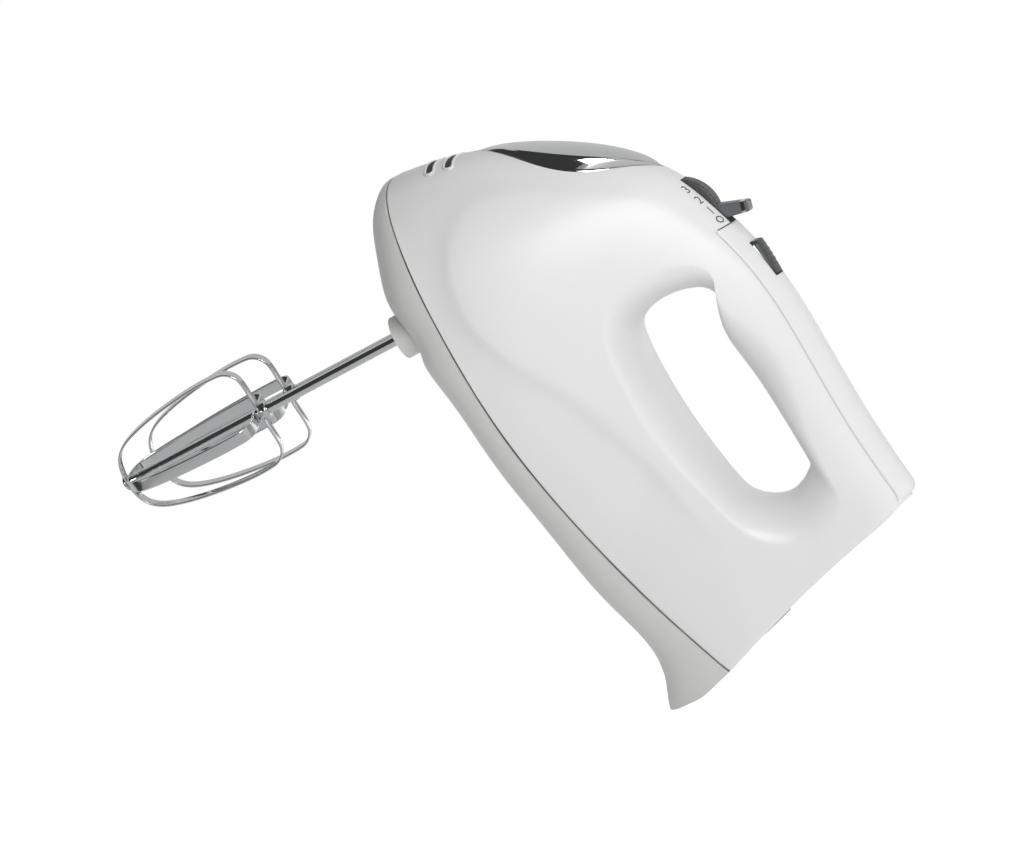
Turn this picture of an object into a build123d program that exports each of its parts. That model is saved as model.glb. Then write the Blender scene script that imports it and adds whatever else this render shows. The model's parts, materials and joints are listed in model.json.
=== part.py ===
"""Hand mixer: a two-shell housing with a loop handle, a worm drive and two strip-loop beaters.

Bench frame while modelling: X runs from the nose to the tail, Y across, Z up along the beaters.
X = 0 and Z = 0 are on the beater axes at the mouth of the sockets. The finished pieces are turned
about Y to stand on the tail, the way the mixer is put down between uses.
"""
import math
import os

from build123d import *

# Casing: stations along the body, each (x, bottom, seam, top, half width, waist, ridge).
# Waist and ridge are the pull points that draw the upper side in towards the narrow handle.
STATIONS = [
    (-55.2, 22.0, 23.6, 27.0, 2.6, 2.2, 2.0),
    (-54.0, 18.6, 23.4, 35.2, 9.0, 7.5, 7.0),
    (-51.6, 16.2, 22.8, 47.0, 16.5, 13.5, 12.5),
    (-47.4, 13.0, 22.2, 61.6, 23.5, 19.0, 17.0),
    (-39.6, 9.2, 21.8, 78.0, 30.5, 24.0, 20.0),
    (-25.6, 4.8, 21.6, 101.4, 37.5, 26.0, 22.0),
    (-9.0, 2.4, 21.4, 119.9, 41.2, 25.0, 22.0),
    (12.4, 4.0, 21.6, 130.8, 42.4, 20.0, 22.5),
    (40.0, 7.6, 22.6, 139.0, 41.2, 13.0, 23.5),
    (76.0, 11.6, 27.0, 142.3, 37.0, 10.0, 24.0),
    (110.0, 16.8, 34.0, 143.6, 31.5, 9.5, 24.0),
    (141.0, 24.4, 42.6, 147.0, 26.3, 10.0, 23.0),
    (156.0, 26.4, 47.6, 149.0, 23.8, 10.0, 22.0),
    (168.0, 23.2, 51.8, 150.6, 21.8, 10.0, 21.0),
    (182.0, 21.0, 57.2, 152.6, 19.5, 10.0, 20.0),
]
WALL = 2.4
SEAM_GAP = 0.5
OVERRUN = 1.0
LOWER_FLAT = 0.8
LOWER_CORNER = 0.6
WAIST_RISE = 0.33
RIDGE_RISE = 0.68
THINNEST_SECTION = 2.0
NOSE_FADE = -25.6
PULL_LEAST = 1.0
FAR = 60.0

# Tail: the plane that the mixer stands on, with a shallow hollow between its two pads.
STAND_TILT = 16.4
STAND_POINT = (172.6, 50.0)
PAD_TOP_Z = 131.0
PAD_HEEL_Z = (41.0, 56.0)
HOLLOW = 1.5
HEEL_END = (176.1, 31.0)
HEEL_TIP = (171.6, 16.0)
HEEL_SWEEP = (-1.0, -0.5)
TAIL_REACH = (200.0, 170.0)

# Handle opening: points round its middle outline, each (x, z, flare, half width of the body there).
OPENING = [
    (34.2, 97.0, 9.0, 24.0),
    (37.2, 84.0, 8.0, 28.0),
    (49.0, 78.6, 7.0, 29.0),
    (78.0, 80.6, 7.0, 26.0),
    (104.0, 84.6, 8.0, 23.0),
    (116.5, 91.0, 11.0, 21.0),
    (122.0, 103.5, 13.0, 18.0),
    (117.6, 113.8, 12.0, 17.0),
    (108.0, 115.9, 10.0, 16.5),
    (78.0, 113.2, 10.0, 17.0),
    (58.0, 111.3, 9.0, 17.0),
    (47.0, 115.2, 8.0, 18.0),
    (38.0, 111.5, 8.0, 21.0),
]
OPENING_LEVELS = (0.0, 6.0, 10.0, 14.0, 17.0, 20.0, 24.0, 29.0, 46.0)
FLARE_POWER = 3
FLARE_LIMIT = 2.0

# Spine cover on top of the handle
COVER_FRONT = 20.9
COVER_DEPTH = 6.0
COVER_GAP = 0.25
COVER_STATION = 7

# Release button: a pointed lens on the sloping front
LENS_LOW = (-49.6, 58.6)
LENS_HIGH = (-10.6, 119.6)
LENS_HALF_WIDTH = 18.0
LENS_PROUD = 3.2
LENS_DEPTH = 2.6
LENS_CLEARANCE = 0.35
LENS_FLANGE = 1.6
LENS_REACH = 24.0
FLANGE_THICK = 1.4
EJECT_TRAVEL = 3.0
STEM_SIDE = 8.0
CAM_POINT = (-13.5, 79.5)
CAM_GAP = 0.3

# Speed dial and its lever
DIAL_CENTRE = (11.0, 115.7)
DIAL_RADIUS = 16.0
DIAL_WIDTH = 9.0
DIAL_CLEARANCE = 0.7
AXLE_RADIUS = 2.0
AXLE_LENGTH = 20.0
RUNNING_FIT = 0.05
LEVER_ANGLE = 15.5
LEVER_REACH = 27.3
LEVER_FOOT = 6.0
LEVER_TIP = 4.2
LEVER_WIDTH = 8.0
LEVER_ROUND = 0.8
SLOT_FRONT = -5.6
RIB_THICK = 2.0
RIB_HALF = 6.0

# Boost button in the spine cover
BOOST_X = (30.9, 46.4)
BOOST_WIDTH = 12.0
BOOST_CLEARANCE = 0.35
BOOST_DEPTH = 6.5
BOOST_TRAVEL = 2.5
BOOST_CORNER = 3.0
BOOST_LIFT = 8.5
BOOST_PEG_RADIUS = 1.8
BOOST_SWITCH_X = (32.5, 45.0)
BOOST_SWITCH_Z = (119.8, 124.4)
BOOST_SWITCH_HALF = 6.6
BOOST_CHEEK = 1.4
BOOST_TOP_Z = 139.0

# Vents across the nose, each (x, z) of its middle
VENTS = ((-55.0, 48.6), (-56.2, 41.0))
VENT_LENGTH = 31.0
VENT_HEIGHT = 2.6
VENT_DEPTH = 12.0

# Drive: motor along X, one worm between two wheels
MOTOR_Z = 46.0
BEATER_SPACING = 42.0
WORM_SHARE = 0.4
WHEEL_TEETH = 28
WHEEL_FACE = 7.0
TOOTH_SHARE = 0.34
THREAD_SHARE = 0.32
THREAD_FOOT = 0.7
THREAD_CREST = 0.35
TOOTH_FOOT = 1.35
TOOTH_CREST = 0.65
DEDENDUM = 1.25
WORM_HALF = 12.0
SHAFT_RADIUS = 3.0
SHAFT_X = (-22.0, 112.0)
FRAME_X = (-20.5, 22.0)
FRAME_WALL = 3.0
FRAME_HALF_WIDTH = 17.0
FRAME_REAR_HALF_WIDTH = 26.0
FRAME_LOBE = 10.5
FRAME_FOOT_Z = 16.0
FRAME_POST_Y = 12.0
FRAME_POST_RADIUS = 4.0
FRAME_TOP_Z = 61.0
BEARING_RADIUS = 6.0
BEARING_LENGTH = 6.0
STACK_X = (48.0, 78.0)
STACK_SIDE = 50.0
STACK_ROUND = 6.0
ROTOR_RADIUS = 14.1
AIR_GAP = 0.5
COIL_SLOT = (8.4, 7.6)
COIL_CENTRE = (14.4, 18.9)
COIL_CLEARANCE = 0.4
COIL_END = 6.5
WINDING_RADIUS = 12.5
WINDING_LENGTH = 6.0
COMMUTATOR_X = (86.0, 96.0)
COMMUTATOR_RADIUS = 9.0
COMMUTATOR_BARS = 12
COMMUTATOR_SLOT = (0.5, 1.5)
ARMATURE_SLOT = (1.6, 4.5)
BRUSH_SIDE = 5.0
BRUSH_LENGTH = 8.0
BRUSH_GAP = 0.15
HOLDER_WALL = 1.2
FAN_X = (32.0, 40.0)
FAN_RADIUS = 18.5
FAN_HUB = 6.5
FAN_BLADES = 9
FAN_BLADE_THICK = 1.2
FAN_PITCH = 32.0
FAN_ROOT = 1.0
REAR_BRACKET_X = (103.0, 109.0)
REAR_BRACKET_HEIGHT = 14.0
BOLT_RADIUS = 1.8
BOLT_Y = 22.0

# Spindles that carry the beaters
SPINDLE_RADIUS = 5.5
SPINDLE_Z = (1.0, 65.2)
LOWER_BUSH_Z = 2.0
UPPER_BUSH_Z = 55.0
RING_RADIUS = 7.0
BUSH_WALL = 1.4
BUSH_LENGTH = 9.0
BOSS_RADIUS = 8.6
BOSS_Z = (1.0, 14.0)
KEY_Z = (22.0, 29.0)
KEY_REACH = 3.4
KEY_WIDTH = 1.4
KEY_CLEARANCE = 0.2

# Release plate over the spindles
PLATE_Z = (72.0, 74.5)
PLATE_HALF = (6.0, 25.0)
FOLLOWER_X = (-20.0, -5.0)
FOLLOWER_TOP = 96.0
PUSHER_RADIUS = 1.7
PUSHER_GAP = 3.6
GUIDE_RADIUS = 2.6
GUIDE_TOP = 82.0
GUIDE_CLEARANCE = 0.3
SPRING_WIRE = 0.7
SPRING_RADIUS = 4.2
SPRING_TURNS = 3

# Speed switch on a post over the gear frame
SWITCH_X = (10.5, 30.0)
SWITCH_Z = (84.0, 97.0)
SWITCH_WIDTH = 16.0
SWITCH_LEG_X = (13.5, 18.5)
SWITCH_LEG_WIDTH = 10.0

# Beaters
ROD_RADIUS = 2.1
ROD_TOP = 44.0
HEAD_TOP = -62.0
HEAD_BOTTOM = -124.0
LOOP_RADIUS = 21.6
LOOP_CORNER = 8.0
# Points down the loop below its shoulder, each (how far in, share of the way down).
LOOP_BELLY = ((0.9, 0.4), (4.2, 0.73), (10.0, 0.94))
STRIP_WIDTH = 4.8
STRIP_THICK = 0.9
STRIP_GAP = 0.35
BEATER_PHASE = 14.0
COLLAR_RADIUS = 3.6
COLLAR_HEIGHT = 3.0
RIVET_RADIUS = 3.2
RIVET_HEIGHT = 1.4

# Fasteners and cord entry
# Screw places are (x, y, height of the seat under the head).
SCREW_PLACES = ((-30.0, 18.0, 10.5), (126.0, 12.0, 26.0))
SCREW_RADIUS = 1.75
SCREW_CLEARANCE = 0.25
SCREW_HEAD_RADIUS = 3.2
SCREW_HEAD_HEIGHT = 2.2
SCREW_LENGTH = 20.0
POST_RADIUS = 4.6
POST_CAP = 2.0
POST_RIB = 2.4
GLAND_Z = 74.0
GLAND_RADIUS = 7.0
GLAND_FLANGE = 9.0
CORD_RADIUS = 3.5
GLAND_REACH = (-14.0, -0.5)
GLAND_SLEEVE = 5.2
FLANGE_REACH = (-6.2, -4.1)
CLAMP_RADIUS = 8.2
CLAMP_REACH = (-13.0, -8.0)

TILT = math.radians(STAND_TILT)
OUTWARD = Vector(math.cos(TILT), 0, math.sin(TILT))
WORM_RADIUS = WORM_SHARE * BEATER_SPACING / 2
WHEEL_RADIUS = BEATER_SPACING / 2 - WORM_RADIUS
MODULE = 2 * WHEEL_RADIUS / WHEEL_TEETH
PITCH = math.pi * MODULE
SIDES = {"left": -1, "right": 1}


def block(x, y, z):
    """Box between two limits on each axis."""
    size = [limits[1] - limits[0] for limits in (x, y, z)]
    centre = [(limits[0] + limits[1]) / 2 for limits in (x, y, z)]
    return Pos(*centre) * Box(*size)


def rod_x(radius, x, y=0.0, z=MOTOR_Z):
    """Cylinder along X between two limits."""
    return Pos((x[0] + x[1]) / 2, y, z) * Rot(0, 90, 0) * Cylinder(radius, x[1] - x[0])


def rod_y(radius, x, z, half_length):
    """Cylinder along Y, centred on the middle plane."""
    return Pos(x, 0, z) * Rot(90, 0, 0) * Cylinder(radius, 2 * half_length)


def rod_z(radius, x, y, z):
    """Cylinder along Z between two limits."""
    return Pos(x, y, (z[0] + z[1]) / 2) * Cylinder(radius, z[1] - z[0])


def side_prism(edges, half_depth=FAR):
    """Solid swept across the body from edges drawn in the middle plane."""
    return extrude(Face(Wire(edges)), amount=half_depth, dir=(0, 1, 0), both=True)


def chain(points):
    """Straight edges in the middle plane through (x, z) points."""
    places = [Vector(x, 0, z) for x, z in points]
    return [Edge.make_line(a, b) for a, b in zip(places, places[1:])]


def inset_station(station, inset):
    """Station values with every wall moved in by the inset, the nose backwards too."""
    x, bottom, seam, top, half, waist, ridge = station
    tip = STATIONS[0][0]
    x_in = x + inset * max(0.0, (NOSE_FADE - x) / (NOSE_FADE - tip))
    waist_in = max(waist - inset, PULL_LEAST)
    ridge_in = max(ridge - inset, PULL_LEAST)
    return x_in, bottom + inset, seam, top - inset, half - inset, waist_in, ridge_in


def lower_edge(station, inset, side):
    """Lower half of a section, from the keel out to the seam."""
    x, bottom, seam, top, half, waist, ridge = inset_station(station, inset)
    rim = seam - SEAM_GAP
    depth = rim - bottom
    points = [(0, bottom), (LOWER_FLAT * half, bottom), (half, rim - LOWER_CORNER * depth), (half, rim)]
    return Edge.make_bezier(*[Vector(x, side * y, z) for y, z in points])


def upper_edge(station, inset, side):
    """Upper half of a section, from the seam in over the waist to the crest."""
    x, bottom, seam, top, half, waist, ridge = inset_station(station, inset)
    rise = top - seam
    points = [
        (half, seam),
        (half, seam + WAIST_RISE * rise),
        (waist, seam + RIDGE_RISE * rise),
        (ridge, top),
        (0, top),
    ]
    return Edge.make_bezier(*[Vector(x, side * y, z) for y, z in points])


def body_half(maker, inset, overrun=0.0):
    """Solid on one side of the seam, closed straight across where the seam is moved by the overrun."""
    sections = []
    for x, bottom, seam, top, half, waist, ridge in STATIONS:
        if half - inset < THINNEST_SECTION:
            continue
        station = (x, bottom, seam + overrun, top, half, waist, ridge)
        right = maker(station, inset, 1)
        left = maker(station, inset, -1)
        rims = [max(edge @ 0, edge @ 1, key=lambda end: abs(end.Y)) for edge in (right, left)]
        sections.append(Wire([right, Edge.make_line(*rims), left]))
    return Solid.make_loft(sections)


def stand_x(z):
    """Place of the standing plane at a height."""
    return STAND_POINT[0] - math.tan(TILT) * (z - STAND_POINT[1])


def tail_tool(inset=0.0):
    """Everything behind the tail, moved in by the inset."""
    pads = [(stand_x(z), z) for z in (TAIL_REACH[1], PAD_TOP_Z, PAD_HEEL_Z[1], PAD_HEEL_Z[0])]
    middle_z = (PAD_TOP_Z + PAD_HEEL_Z[1]) / 2
    hollow = Vector(stand_x(middle_z), 0, middle_z) - OUTWARD * HOLLOW
    places = [Vector(x, 0, z) for x, z in pads]
    heel = [places[3], Vector(HEEL_END[0], 0, HEEL_END[1]), Vector(HEEL_TIP[0], 0, HEEL_TIP[1])]
    down = Vector(math.sin(TILT), 0, -math.cos(TILT))
    edges = chain(pads[0:2])
    edges.append(Edge.make_three_point_arc(places[1], hollow, places[2]))
    edges += chain(pads[2:4])
    edges.append(Edge.make_spline(heel, tangents=[down, Vector(HEEL_SWEEP[0], 0, HEEL_SWEEP[1])]))
    edges += chain([HEEL_TIP, (TAIL_REACH[0], HEEL_TIP[1]), TAIL_REACH, pads[0]])
    return Pos(*(OUTWARD * -inset)) * side_prism(edges)


def opening_wire(level, grow):
    """Outline of the handle opening at one depth, flared towards the sides."""
    points = []
    for index, (x, z, flare, half) in enumerate(OPENING):
        before = OPENING[index - 1]
        after = OPENING[(index + 1) % len(OPENING)]
        run, rise = after[0] - before[0], after[1] - before[1]
        length = math.hypot(run, rise)
        share = (abs(level) / half) ** FLARE_POWER
        spread = flare * FLARE_LIMIT * share / (FLARE_LIMIT - 1 + share) + grow
        points.append(Vector(x + spread * rise / length, level, z - spread * run / length))
    return Wire([Edge.make_spline(points, periodic=True)])


def opening_tool(grow=0.0):
    """Flared solid that the handle opening is cut with."""
    levels = [-level for level in reversed(OPENING_LEVELS[1:])] + list(OPENING_LEVELS)
    return Solid.make_loft([opening_wire(level, grow) for level in levels])


def cover_tool():
    """Space of the spine cover: all that lies over a line below the crest, behind its front edge."""
    line = [Vector(x, 0, top - COVER_DEPTH) for x, _, _, top, _, _, _ in STATIONS[COVER_STATION:]]
    edges = [Edge.make_spline(line)]
    first, last = line[0], line[-1]
    edges += chain([(last.X, last.Z), TAIL_REACH, (first.X, TAIL_REACH[1]), (first.X, first.Z)])
    return side_prism(edges) & block((COVER_FRONT, TAIL_REACH[0]), (-FAR, FAR), (0, TAIL_REACH[1]))


LENS_MIDDLE = Vector((LENS_LOW[0] + LENS_HIGH[0]) / 2, 0, (LENS_LOW[1] + LENS_HIGH[1]) / 2)
LENS_ALONG = Vector(LENS_HIGH[0] - LENS_LOW[0], 0, LENS_HIGH[1] - LENS_LOW[1])
LENS_PLANE = Plane(LENS_MIDDLE, x_dir=LENS_ALONG, z_dir=Vector(-LENS_ALONG.Z, 0, LENS_ALONG.X))
PRESS = LENS_PLANE.z_dir * -1


def lens_prism(grow=0.0):
    """Pointed lens swept through the sloping front, wider by the growth."""
    half_length = LENS_ALONG.length / 2 + grow
    half_width = LENS_HALF_WIDTH + grow
    tips = [(-half_length, 0), (half_length, 0)]
    arcs = []
    for side in SIDES.values():
        arcs.append(Edge.make_three_point_arc((*tips[0], 0), (0, side * half_width, 0), (*tips[1], 0)))
    return LENS_PLANE * extrude(Face(Wire(arcs)), amount=LENS_REACH, both=True)


def rod_mouths(radius, z):
    """Pair of upright cylinders on the beater axes."""
    return [rod_z(radius, 0, side * BEATER_SPACING / 2, z) for side in SIDES.values()]


def at_screws(radius, low, high):
    """Upright cylinders at the four housing screws; heights are measured from each screw's seat."""
    places = [(x, side * y, seat) for x, y, seat in SCREW_PLACES for side in SIDES.values()]
    return [rod_z(radius, x, y, (seat + low, seat + high)) for x, y, seat in places]


def post_ribs(high):
    """Webs that tie the screw posts to the side walls."""
    webs = []
    for x, y, seat in SCREW_PLACES:
        for side in SIDES.values():
            span = sorted((side * y, side * FAR))
            webs.append(block((x - POST_RIB / 2, x + POST_RIB / 2), span, (0, seat + high)))
    return webs


def gland_rod(radius, reach):
    """Cylinder through the tail wall, square to the standing plane; reach is measured outwards."""
    centre = Vector(stand_x(GLAND_Z), 0, GLAND_Z) + OUTWARD * ((reach[0] + reach[1]) / 2)
    return Plane(centre, z_dir=OUTWARD) * Cylinder(radius, reach[1] - reach[0])


def casing_shell():
    """Upper shell of the casing in one piece, hollow, with the handle opening through it."""
    outer = body_half(upper_edge, 0.0) - tail_tool() - opening_tool()
    inner = body_half(upper_edge, WALL, -OVERRUN) - tail_tool(WALL) - opening_tool(WALL)
    return outer, outer - inner


def dial_ribs():
    """Two cheeks that carry the dial axle."""
    x = (DIAL_CENTRE[0] - RIB_HALF, DIAL_CENTRE[0] + RIB_HALF)
    z = (DIAL_CENTRE[1] - RIB_HALF, TAIL_REACH[1])
    inside = DIAL_WIDTH / 2 + 2 * DIAL_CLEARANCE
    cheeks = []
    for side in SIDES.values():
        y = sorted((side * inside, side * (inside + RIB_THICK)))
        cheeks.append(block(x, y, z))
    return cheeks


def dial_slot():
    """Slot over the dial, open towards the spine cover."""
    half = DIAL_WIDTH / 2 + DIAL_CLEARANCE
    return block((SLOT_FRONT, COVER_FRONT + WALL), (-half, half), (DIAL_CENTRE[1], TAIL_REACH[1]))


def vent_cuts():
    """Rounded slots across the front of the nose."""
    cuts = []
    for x, z in VENTS:
        outline = SlotOverall(VENT_LENGTH, VENT_HEIGHT)
        plane = Plane((x, 0, z), x_dir=(0, 1, 0), z_dir=(1, 0, 0))
        cuts.append(plane * extrude(outline, amount=VENT_DEPTH, both=True))
    return cuts


def boost_plan(grow=0.0):
    """Upright prism in the plan of the boost button."""
    length = BOOST_X[1] - BOOST_X[0] + 2 * grow
    outline = RectangleRounded(length, BOOST_WIDTH + 2 * grow, BOOST_CORNER + grow)
    return Pos((BOOST_X[0] + BOOST_X[1]) / 2, 0, DIAL_CENTRE[1]) * extrude(outline, amount=FAR)


def boost_cheeks():
    """Two webs under the spine cover that hold the boost switch."""
    cheeks = []
    for side in SIDES.values():
        y = sorted((side * BOOST_SWITCH_HALF, side * (BOOST_SWITCH_HALF + BOOST_CHEEK)))
        cheeks.append(block(BOOST_SWITCH_X, y, (BOOST_SWITCH_Z[0], TAIL_REACH[1])))
    return cheeks


def upper_casing():
    """Upper housing and spine cover, cut from one shell."""
    outer, shell = casing_shell()
    lid = cover_tool()
    cover = shell & (Pos(COVER_GAP, 0, COVER_GAP) * lid)
    under = body_half(upper_edge, WALL / 2)
    cover = cover + [cheek & under for cheek in boost_cheeks()]
    cover = cover - boost_plan(BOOST_CLEARANCE)
    housing = shell - lid
    post_top = SCREW_LENGTH + POST_CAP
    inside = body_half(upper_edge, WALL / 2, OVERRUN) - lid
    fixings = at_screws(POST_RADIUS, 0, post_top) + post_ribs(post_top) + dial_ribs()
    housing = housing + [fixing & inside for fixing in fixings]
    housing = housing - lens_prism(LENS_CLEARANCE) - dial_slot() - vent_cuts()
    housing = housing - rod_y(AXLE_RADIUS, *DIAL_CENTRE, AXLE_LENGTH / 2)
    housing = housing - at_screws(SCREW_RADIUS, 0, SCREW_LENGTH) - gland_rod(GLAND_RADIUS, (-FAR, FAR))
    return housing, cover


def frame_posts(z):
    """Upright cylinders under the four corners of the gear frame."""
    xs = [x + FRAME_WALL / 2 for x in FRAME_X]
    return [rod_z(FRAME_POST_RADIUS, x, side * FRAME_POST_Y, z) for x in xs for side in SIDES.values()]


def motor_cradle():
    """Cross ribs that the lamination stack rests on."""
    top = MOTOR_Z - STACK_SIDE / 2
    half = STACK_SIDE / 2 - STACK_ROUND
    ends = (STACK_X[0] + RIB_HALF, STACK_X[1] - RIB_HALF)
    return [block((x - RIB_THICK, x + RIB_THICK), (-half, half), (0, top)) for x in ends]


def lower_cover():
    """Lower shell with socket bosses, screw posts and the seats of the drive."""
    outer = body_half(lower_edge, 0.0) - tail_tool()
    inner = body_half(lower_edge, WALL, OVERRUN) - tail_tool(WALL)
    seats = frame_posts((0, FRAME_FOOT_Z)) + motor_cradle() + at_screws(POST_RADIUS, -FAR, FAR)
    inside = body_half(lower_edge, WALL / 2)
    cover = (outer - inner) + [seat & inside for seat in seats]
    cover = cover + rod_mouths(BOSS_RADIUS, BOSS_Z)
    cover = cover - rod_mouths(SPINDLE_RADIUS + RUNNING_FIT + BUSH_WALL, (-FAR, FAR))
    cover = cover - at_screws(SCREW_RADIUS + SCREW_CLEARANCE, -FAR, FAR)
    return cover - at_screws(SCREW_HEAD_RADIUS + SCREW_CLEARANCE, -FAR, 0)


def housing_screws():
    """Four self-tapping screws from below."""
    shanks = at_screws(SCREW_RADIUS, -SCREW_HEAD_HEIGHT / 2, SCREW_LENGTH)
    heads = at_screws(SCREW_HEAD_RADIUS, -SCREW_HEAD_HEIGHT, 0)
    return Compound(children=[shank + head for shank, head in zip(shanks, heads)])


def cord_gland():
    """Rubber bush in the tail wall with a flange inside."""
    inner_sleeve = gland_rod(GLAND_SLEEVE, GLAND_REACH)
    plug = gland_rod(GLAND_RADIUS, (FLANGE_REACH[0], GLAND_REACH[1]))
    flange = gland_rod(GLAND_FLANGE, FLANGE_REACH)
    return inner_sleeve + plug + flange - gland_rod(CORD_RADIUS, (-FAR, FAR))


def cord_clamp():
    """Ring that grips the gland's sleeve on the cord."""
    return gland_rod(CLAMP_RADIUS, CLAMP_REACH) - gland_rod(GLAND_SLEEVE, (-FAR, FAR))


def half_space(point, normal):
    """Large block on the far side of a plane, away from its normal."""
    return Plane(point, z_dir=normal) * Pos(0, 0, -FAR) * Box(2 * FAR, 2 * FAR, 2 * FAR)


# The cam face moves the plate down as far as the button goes in.
CAM_NORMAL = Vector((-PRESS.Z - 1) / PRESS.X, 0, 1).normalized()
CAM_PLACE = Vector(CAM_POINT[0], 0, CAM_POINT[1])


def release_button():
    """Domed lens cap with a flange that stops it behind the housing wall."""
    skirt = lens_prism() & body_half(upper_edge, -LENS_PROUD)
    skirt = skirt - body_half(upper_edge, WALL + LENS_DEPTH)
    seat = WALL + LENS_CLEARANCE
    flange = lens_prism(LENS_FLANGE) & body_half(upper_edge, seat)
    button = skirt + (flange - body_half(upper_edge, seat + FLANGE_THICK))
    sweep_radius = DIAL_RADIUS + EJECT_TRAVEL + DIAL_CLEARANCE
    return button - rod_y(sweep_radius, *DIAL_CENTRE, DIAL_WIDTH)


def release_stem():
    """Square bar behind the cap, ending in the cam face."""
    bar = LENS_PLANE * Pos(0, 0, -FAR / 2) * Box(STEM_SIDE, STEM_SIDE, FAR)
    bar = bar & body_half(upper_edge, WALL + LENS_DEPTH)
    return bar - half_space(CAM_PLACE, CAM_NORMAL)


def release_plate():
    """Plate that pushes the beaters out, with its cam follower."""
    plate = block((-PLATE_HALF[0], PLATE_HALF[0]), (-PLATE_HALF[1], PLATE_HALF[1]), PLATE_Z)
    follower = block(FOLLOWER_X, (-STEM_SIDE / 2, STEM_SIDE / 2), (PLATE_Z[0], FOLLOWER_TOP))
    follower = follower & half_space(CAM_PLACE - CAM_NORMAL * CAM_GAP, CAM_NORMAL)
    pushers = rod_mouths(PUSHER_RADIUS, (ROD_TOP + PUSHER_GAP, PLATE_Z[1]))
    return plate + follower + pushers - rod_z(GUIDE_RADIUS + GUIDE_CLEARANCE, 0, 0, (0, FOLLOWER_TOP))


def coil_spring(radius, wire, turns, height):
    """Round wire coil along Z from the origin."""
    path = Helix(pitch=height / turns, height=height, radius=radius)
    return sweep(Plane(path @ 0, z_dir=path % 0) * Circle(wire / 2), path=path, is_frenet=True)


def release_spring():
    """Return spring under the plate, drawn at its pressed length."""
    height = PLATE_Z[0] - FRAME_TOP_Z - EJECT_TRAVEL - 2 * SPRING_WIRE
    coil = coil_spring(SPRING_RADIUS, SPRING_WIRE, SPRING_TURNS, height)
    return Pos(0, 0, PLATE_Z[0] - height - SPRING_WIRE / 2) * coil


def speed_dial():
    """Drum of the speed selector."""
    drum = rod_y(DIAL_RADIUS, *DIAL_CENTRE, DIAL_WIDTH / 2)
    return drum - rod_y(AXLE_RADIUS + RUNNING_FIT, *DIAL_CENTRE, DIAL_WIDTH)


def speed_lever():
    """Tapered tab that stands on the drum."""
    foot, tip = LEVER_FOOT / 2, LEVER_TIP / 2
    low = DIAL_RADIUS
    outline = Polygon((-foot, low), (foot, low), (tip, LEVER_REACH), (-tip, LEVER_REACH), align=None)
    outline = fillet(outline.vertices().group_by(Axis.Y)[-1], tip * LEVER_ROUND)
    tab = extrude(Plane.XZ * outline, amount=LEVER_WIDTH / 2, both=True)
    tab = Pos(DIAL_CENTRE[0], 0, DIAL_CENTRE[1]) * Rot(0, LEVER_ANGLE, 0) * tab
    return tab


def dial_axle():
    """Pin that the dial turns on."""
    return rod_y(AXLE_RADIUS, *DIAL_CENTRE, AXLE_LENGTH / 2)


def boost_button():
    """Low wedge in the spine cover, proud at its front edge."""
    pivot = Pos(BOOST_X[1], 0, BOOST_TOP_Z)
    raised = pivot * Rot(0, BOOST_LIFT, 0) * pivot.inverse() * body_half(upper_edge, 0.0)
    cap = (boost_plan() & raised) - body_half(upper_edge, BOOST_DEPTH)
    middle = (BOOST_X[0] + BOOST_X[1]) / 2
    peg_z = (BOOST_SWITCH_Z[1] + BOOST_TRAVEL + CAM_GAP, BOOST_TOP_Z - WALL)
    peg = rod_z(BOOST_PEG_RADIUS, middle, 0, peg_z)
    return cap + peg


def boost_switch():
    """Switch block between the webs of the spine cover."""
    half = BOOST_SWITCH_HALF
    return block(BOOST_SWITCH_X, (-half, half), BOOST_SWITCH_Z)


def speed_switch():
    """Switch block under the dial on its own leg."""
    half = SWITCH_WIDTH / 2
    leg = SWITCH_LEG_WIDTH / 2
    body = block(SWITCH_X, (-half, half), SWITCH_Z)
    return body + block(SWITCH_LEG_X, (-leg, leg), (FRAME_TOP_Z, SWITCH_Z[0]))


def gear_frame():
    """Bridge over the worm that carries the shaft bearings, the spindle bushes and the plate's guide."""
    x = (FRAME_X[0], FRAME_X[1] + FRAME_WALL)
    half = FRAME_HALF_WIDTH
    roof_z = (FRAME_TOP_Z - FRAME_WALL, FRAME_TOP_Z)
    roof = block(x, (-half, half), roof_z) + rod_mouths(FRAME_LOBE, roof_z)
    front = block((x[0], x[0] + FRAME_WALL), (-half, half), (FRAME_FOOT_Z, FRAME_TOP_Z))
    rear_half = FRAME_REAR_HALF_WIDTH
    rear = block((x[1] - FRAME_WALL, x[1]), (-rear_half, rear_half), (FRAME_FOOT_Z, FRAME_TOP_Z))
    frame = roof + front + rear + rod_z(GUIDE_RADIUS, 0, 0, (roof_z[0], GUIDE_TOP))
    frame = frame - rod_mouths(SPINDLE_RADIUS + RUNNING_FIT + BUSH_WALL, (0, FAR * 2))
    frame = frame - rod_x(BEARING_RADIUS, (-FAR, FAR))
    return frame - [rod_x(BOLT_RADIUS, (0, FAR), side * BOLT_Y) for side in SIDES.values()]


def shaft_bearings():
    """Three sintered sleeves in the two frame walls and the rear bracket."""
    walls = [x + FRAME_WALL / 2 for x in FRAME_X] + [sum(REAR_BRACKET_X) / 2]
    half = BEARING_LENGTH / 2
    bore = rod_x(SHAFT_RADIUS + RUNNING_FIT, (-2 * FAR, 2 * FAR))
    return Compound(children=[rod_x(BEARING_RADIUS, (x - half, x + half)) - bore for x in walls])


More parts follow.
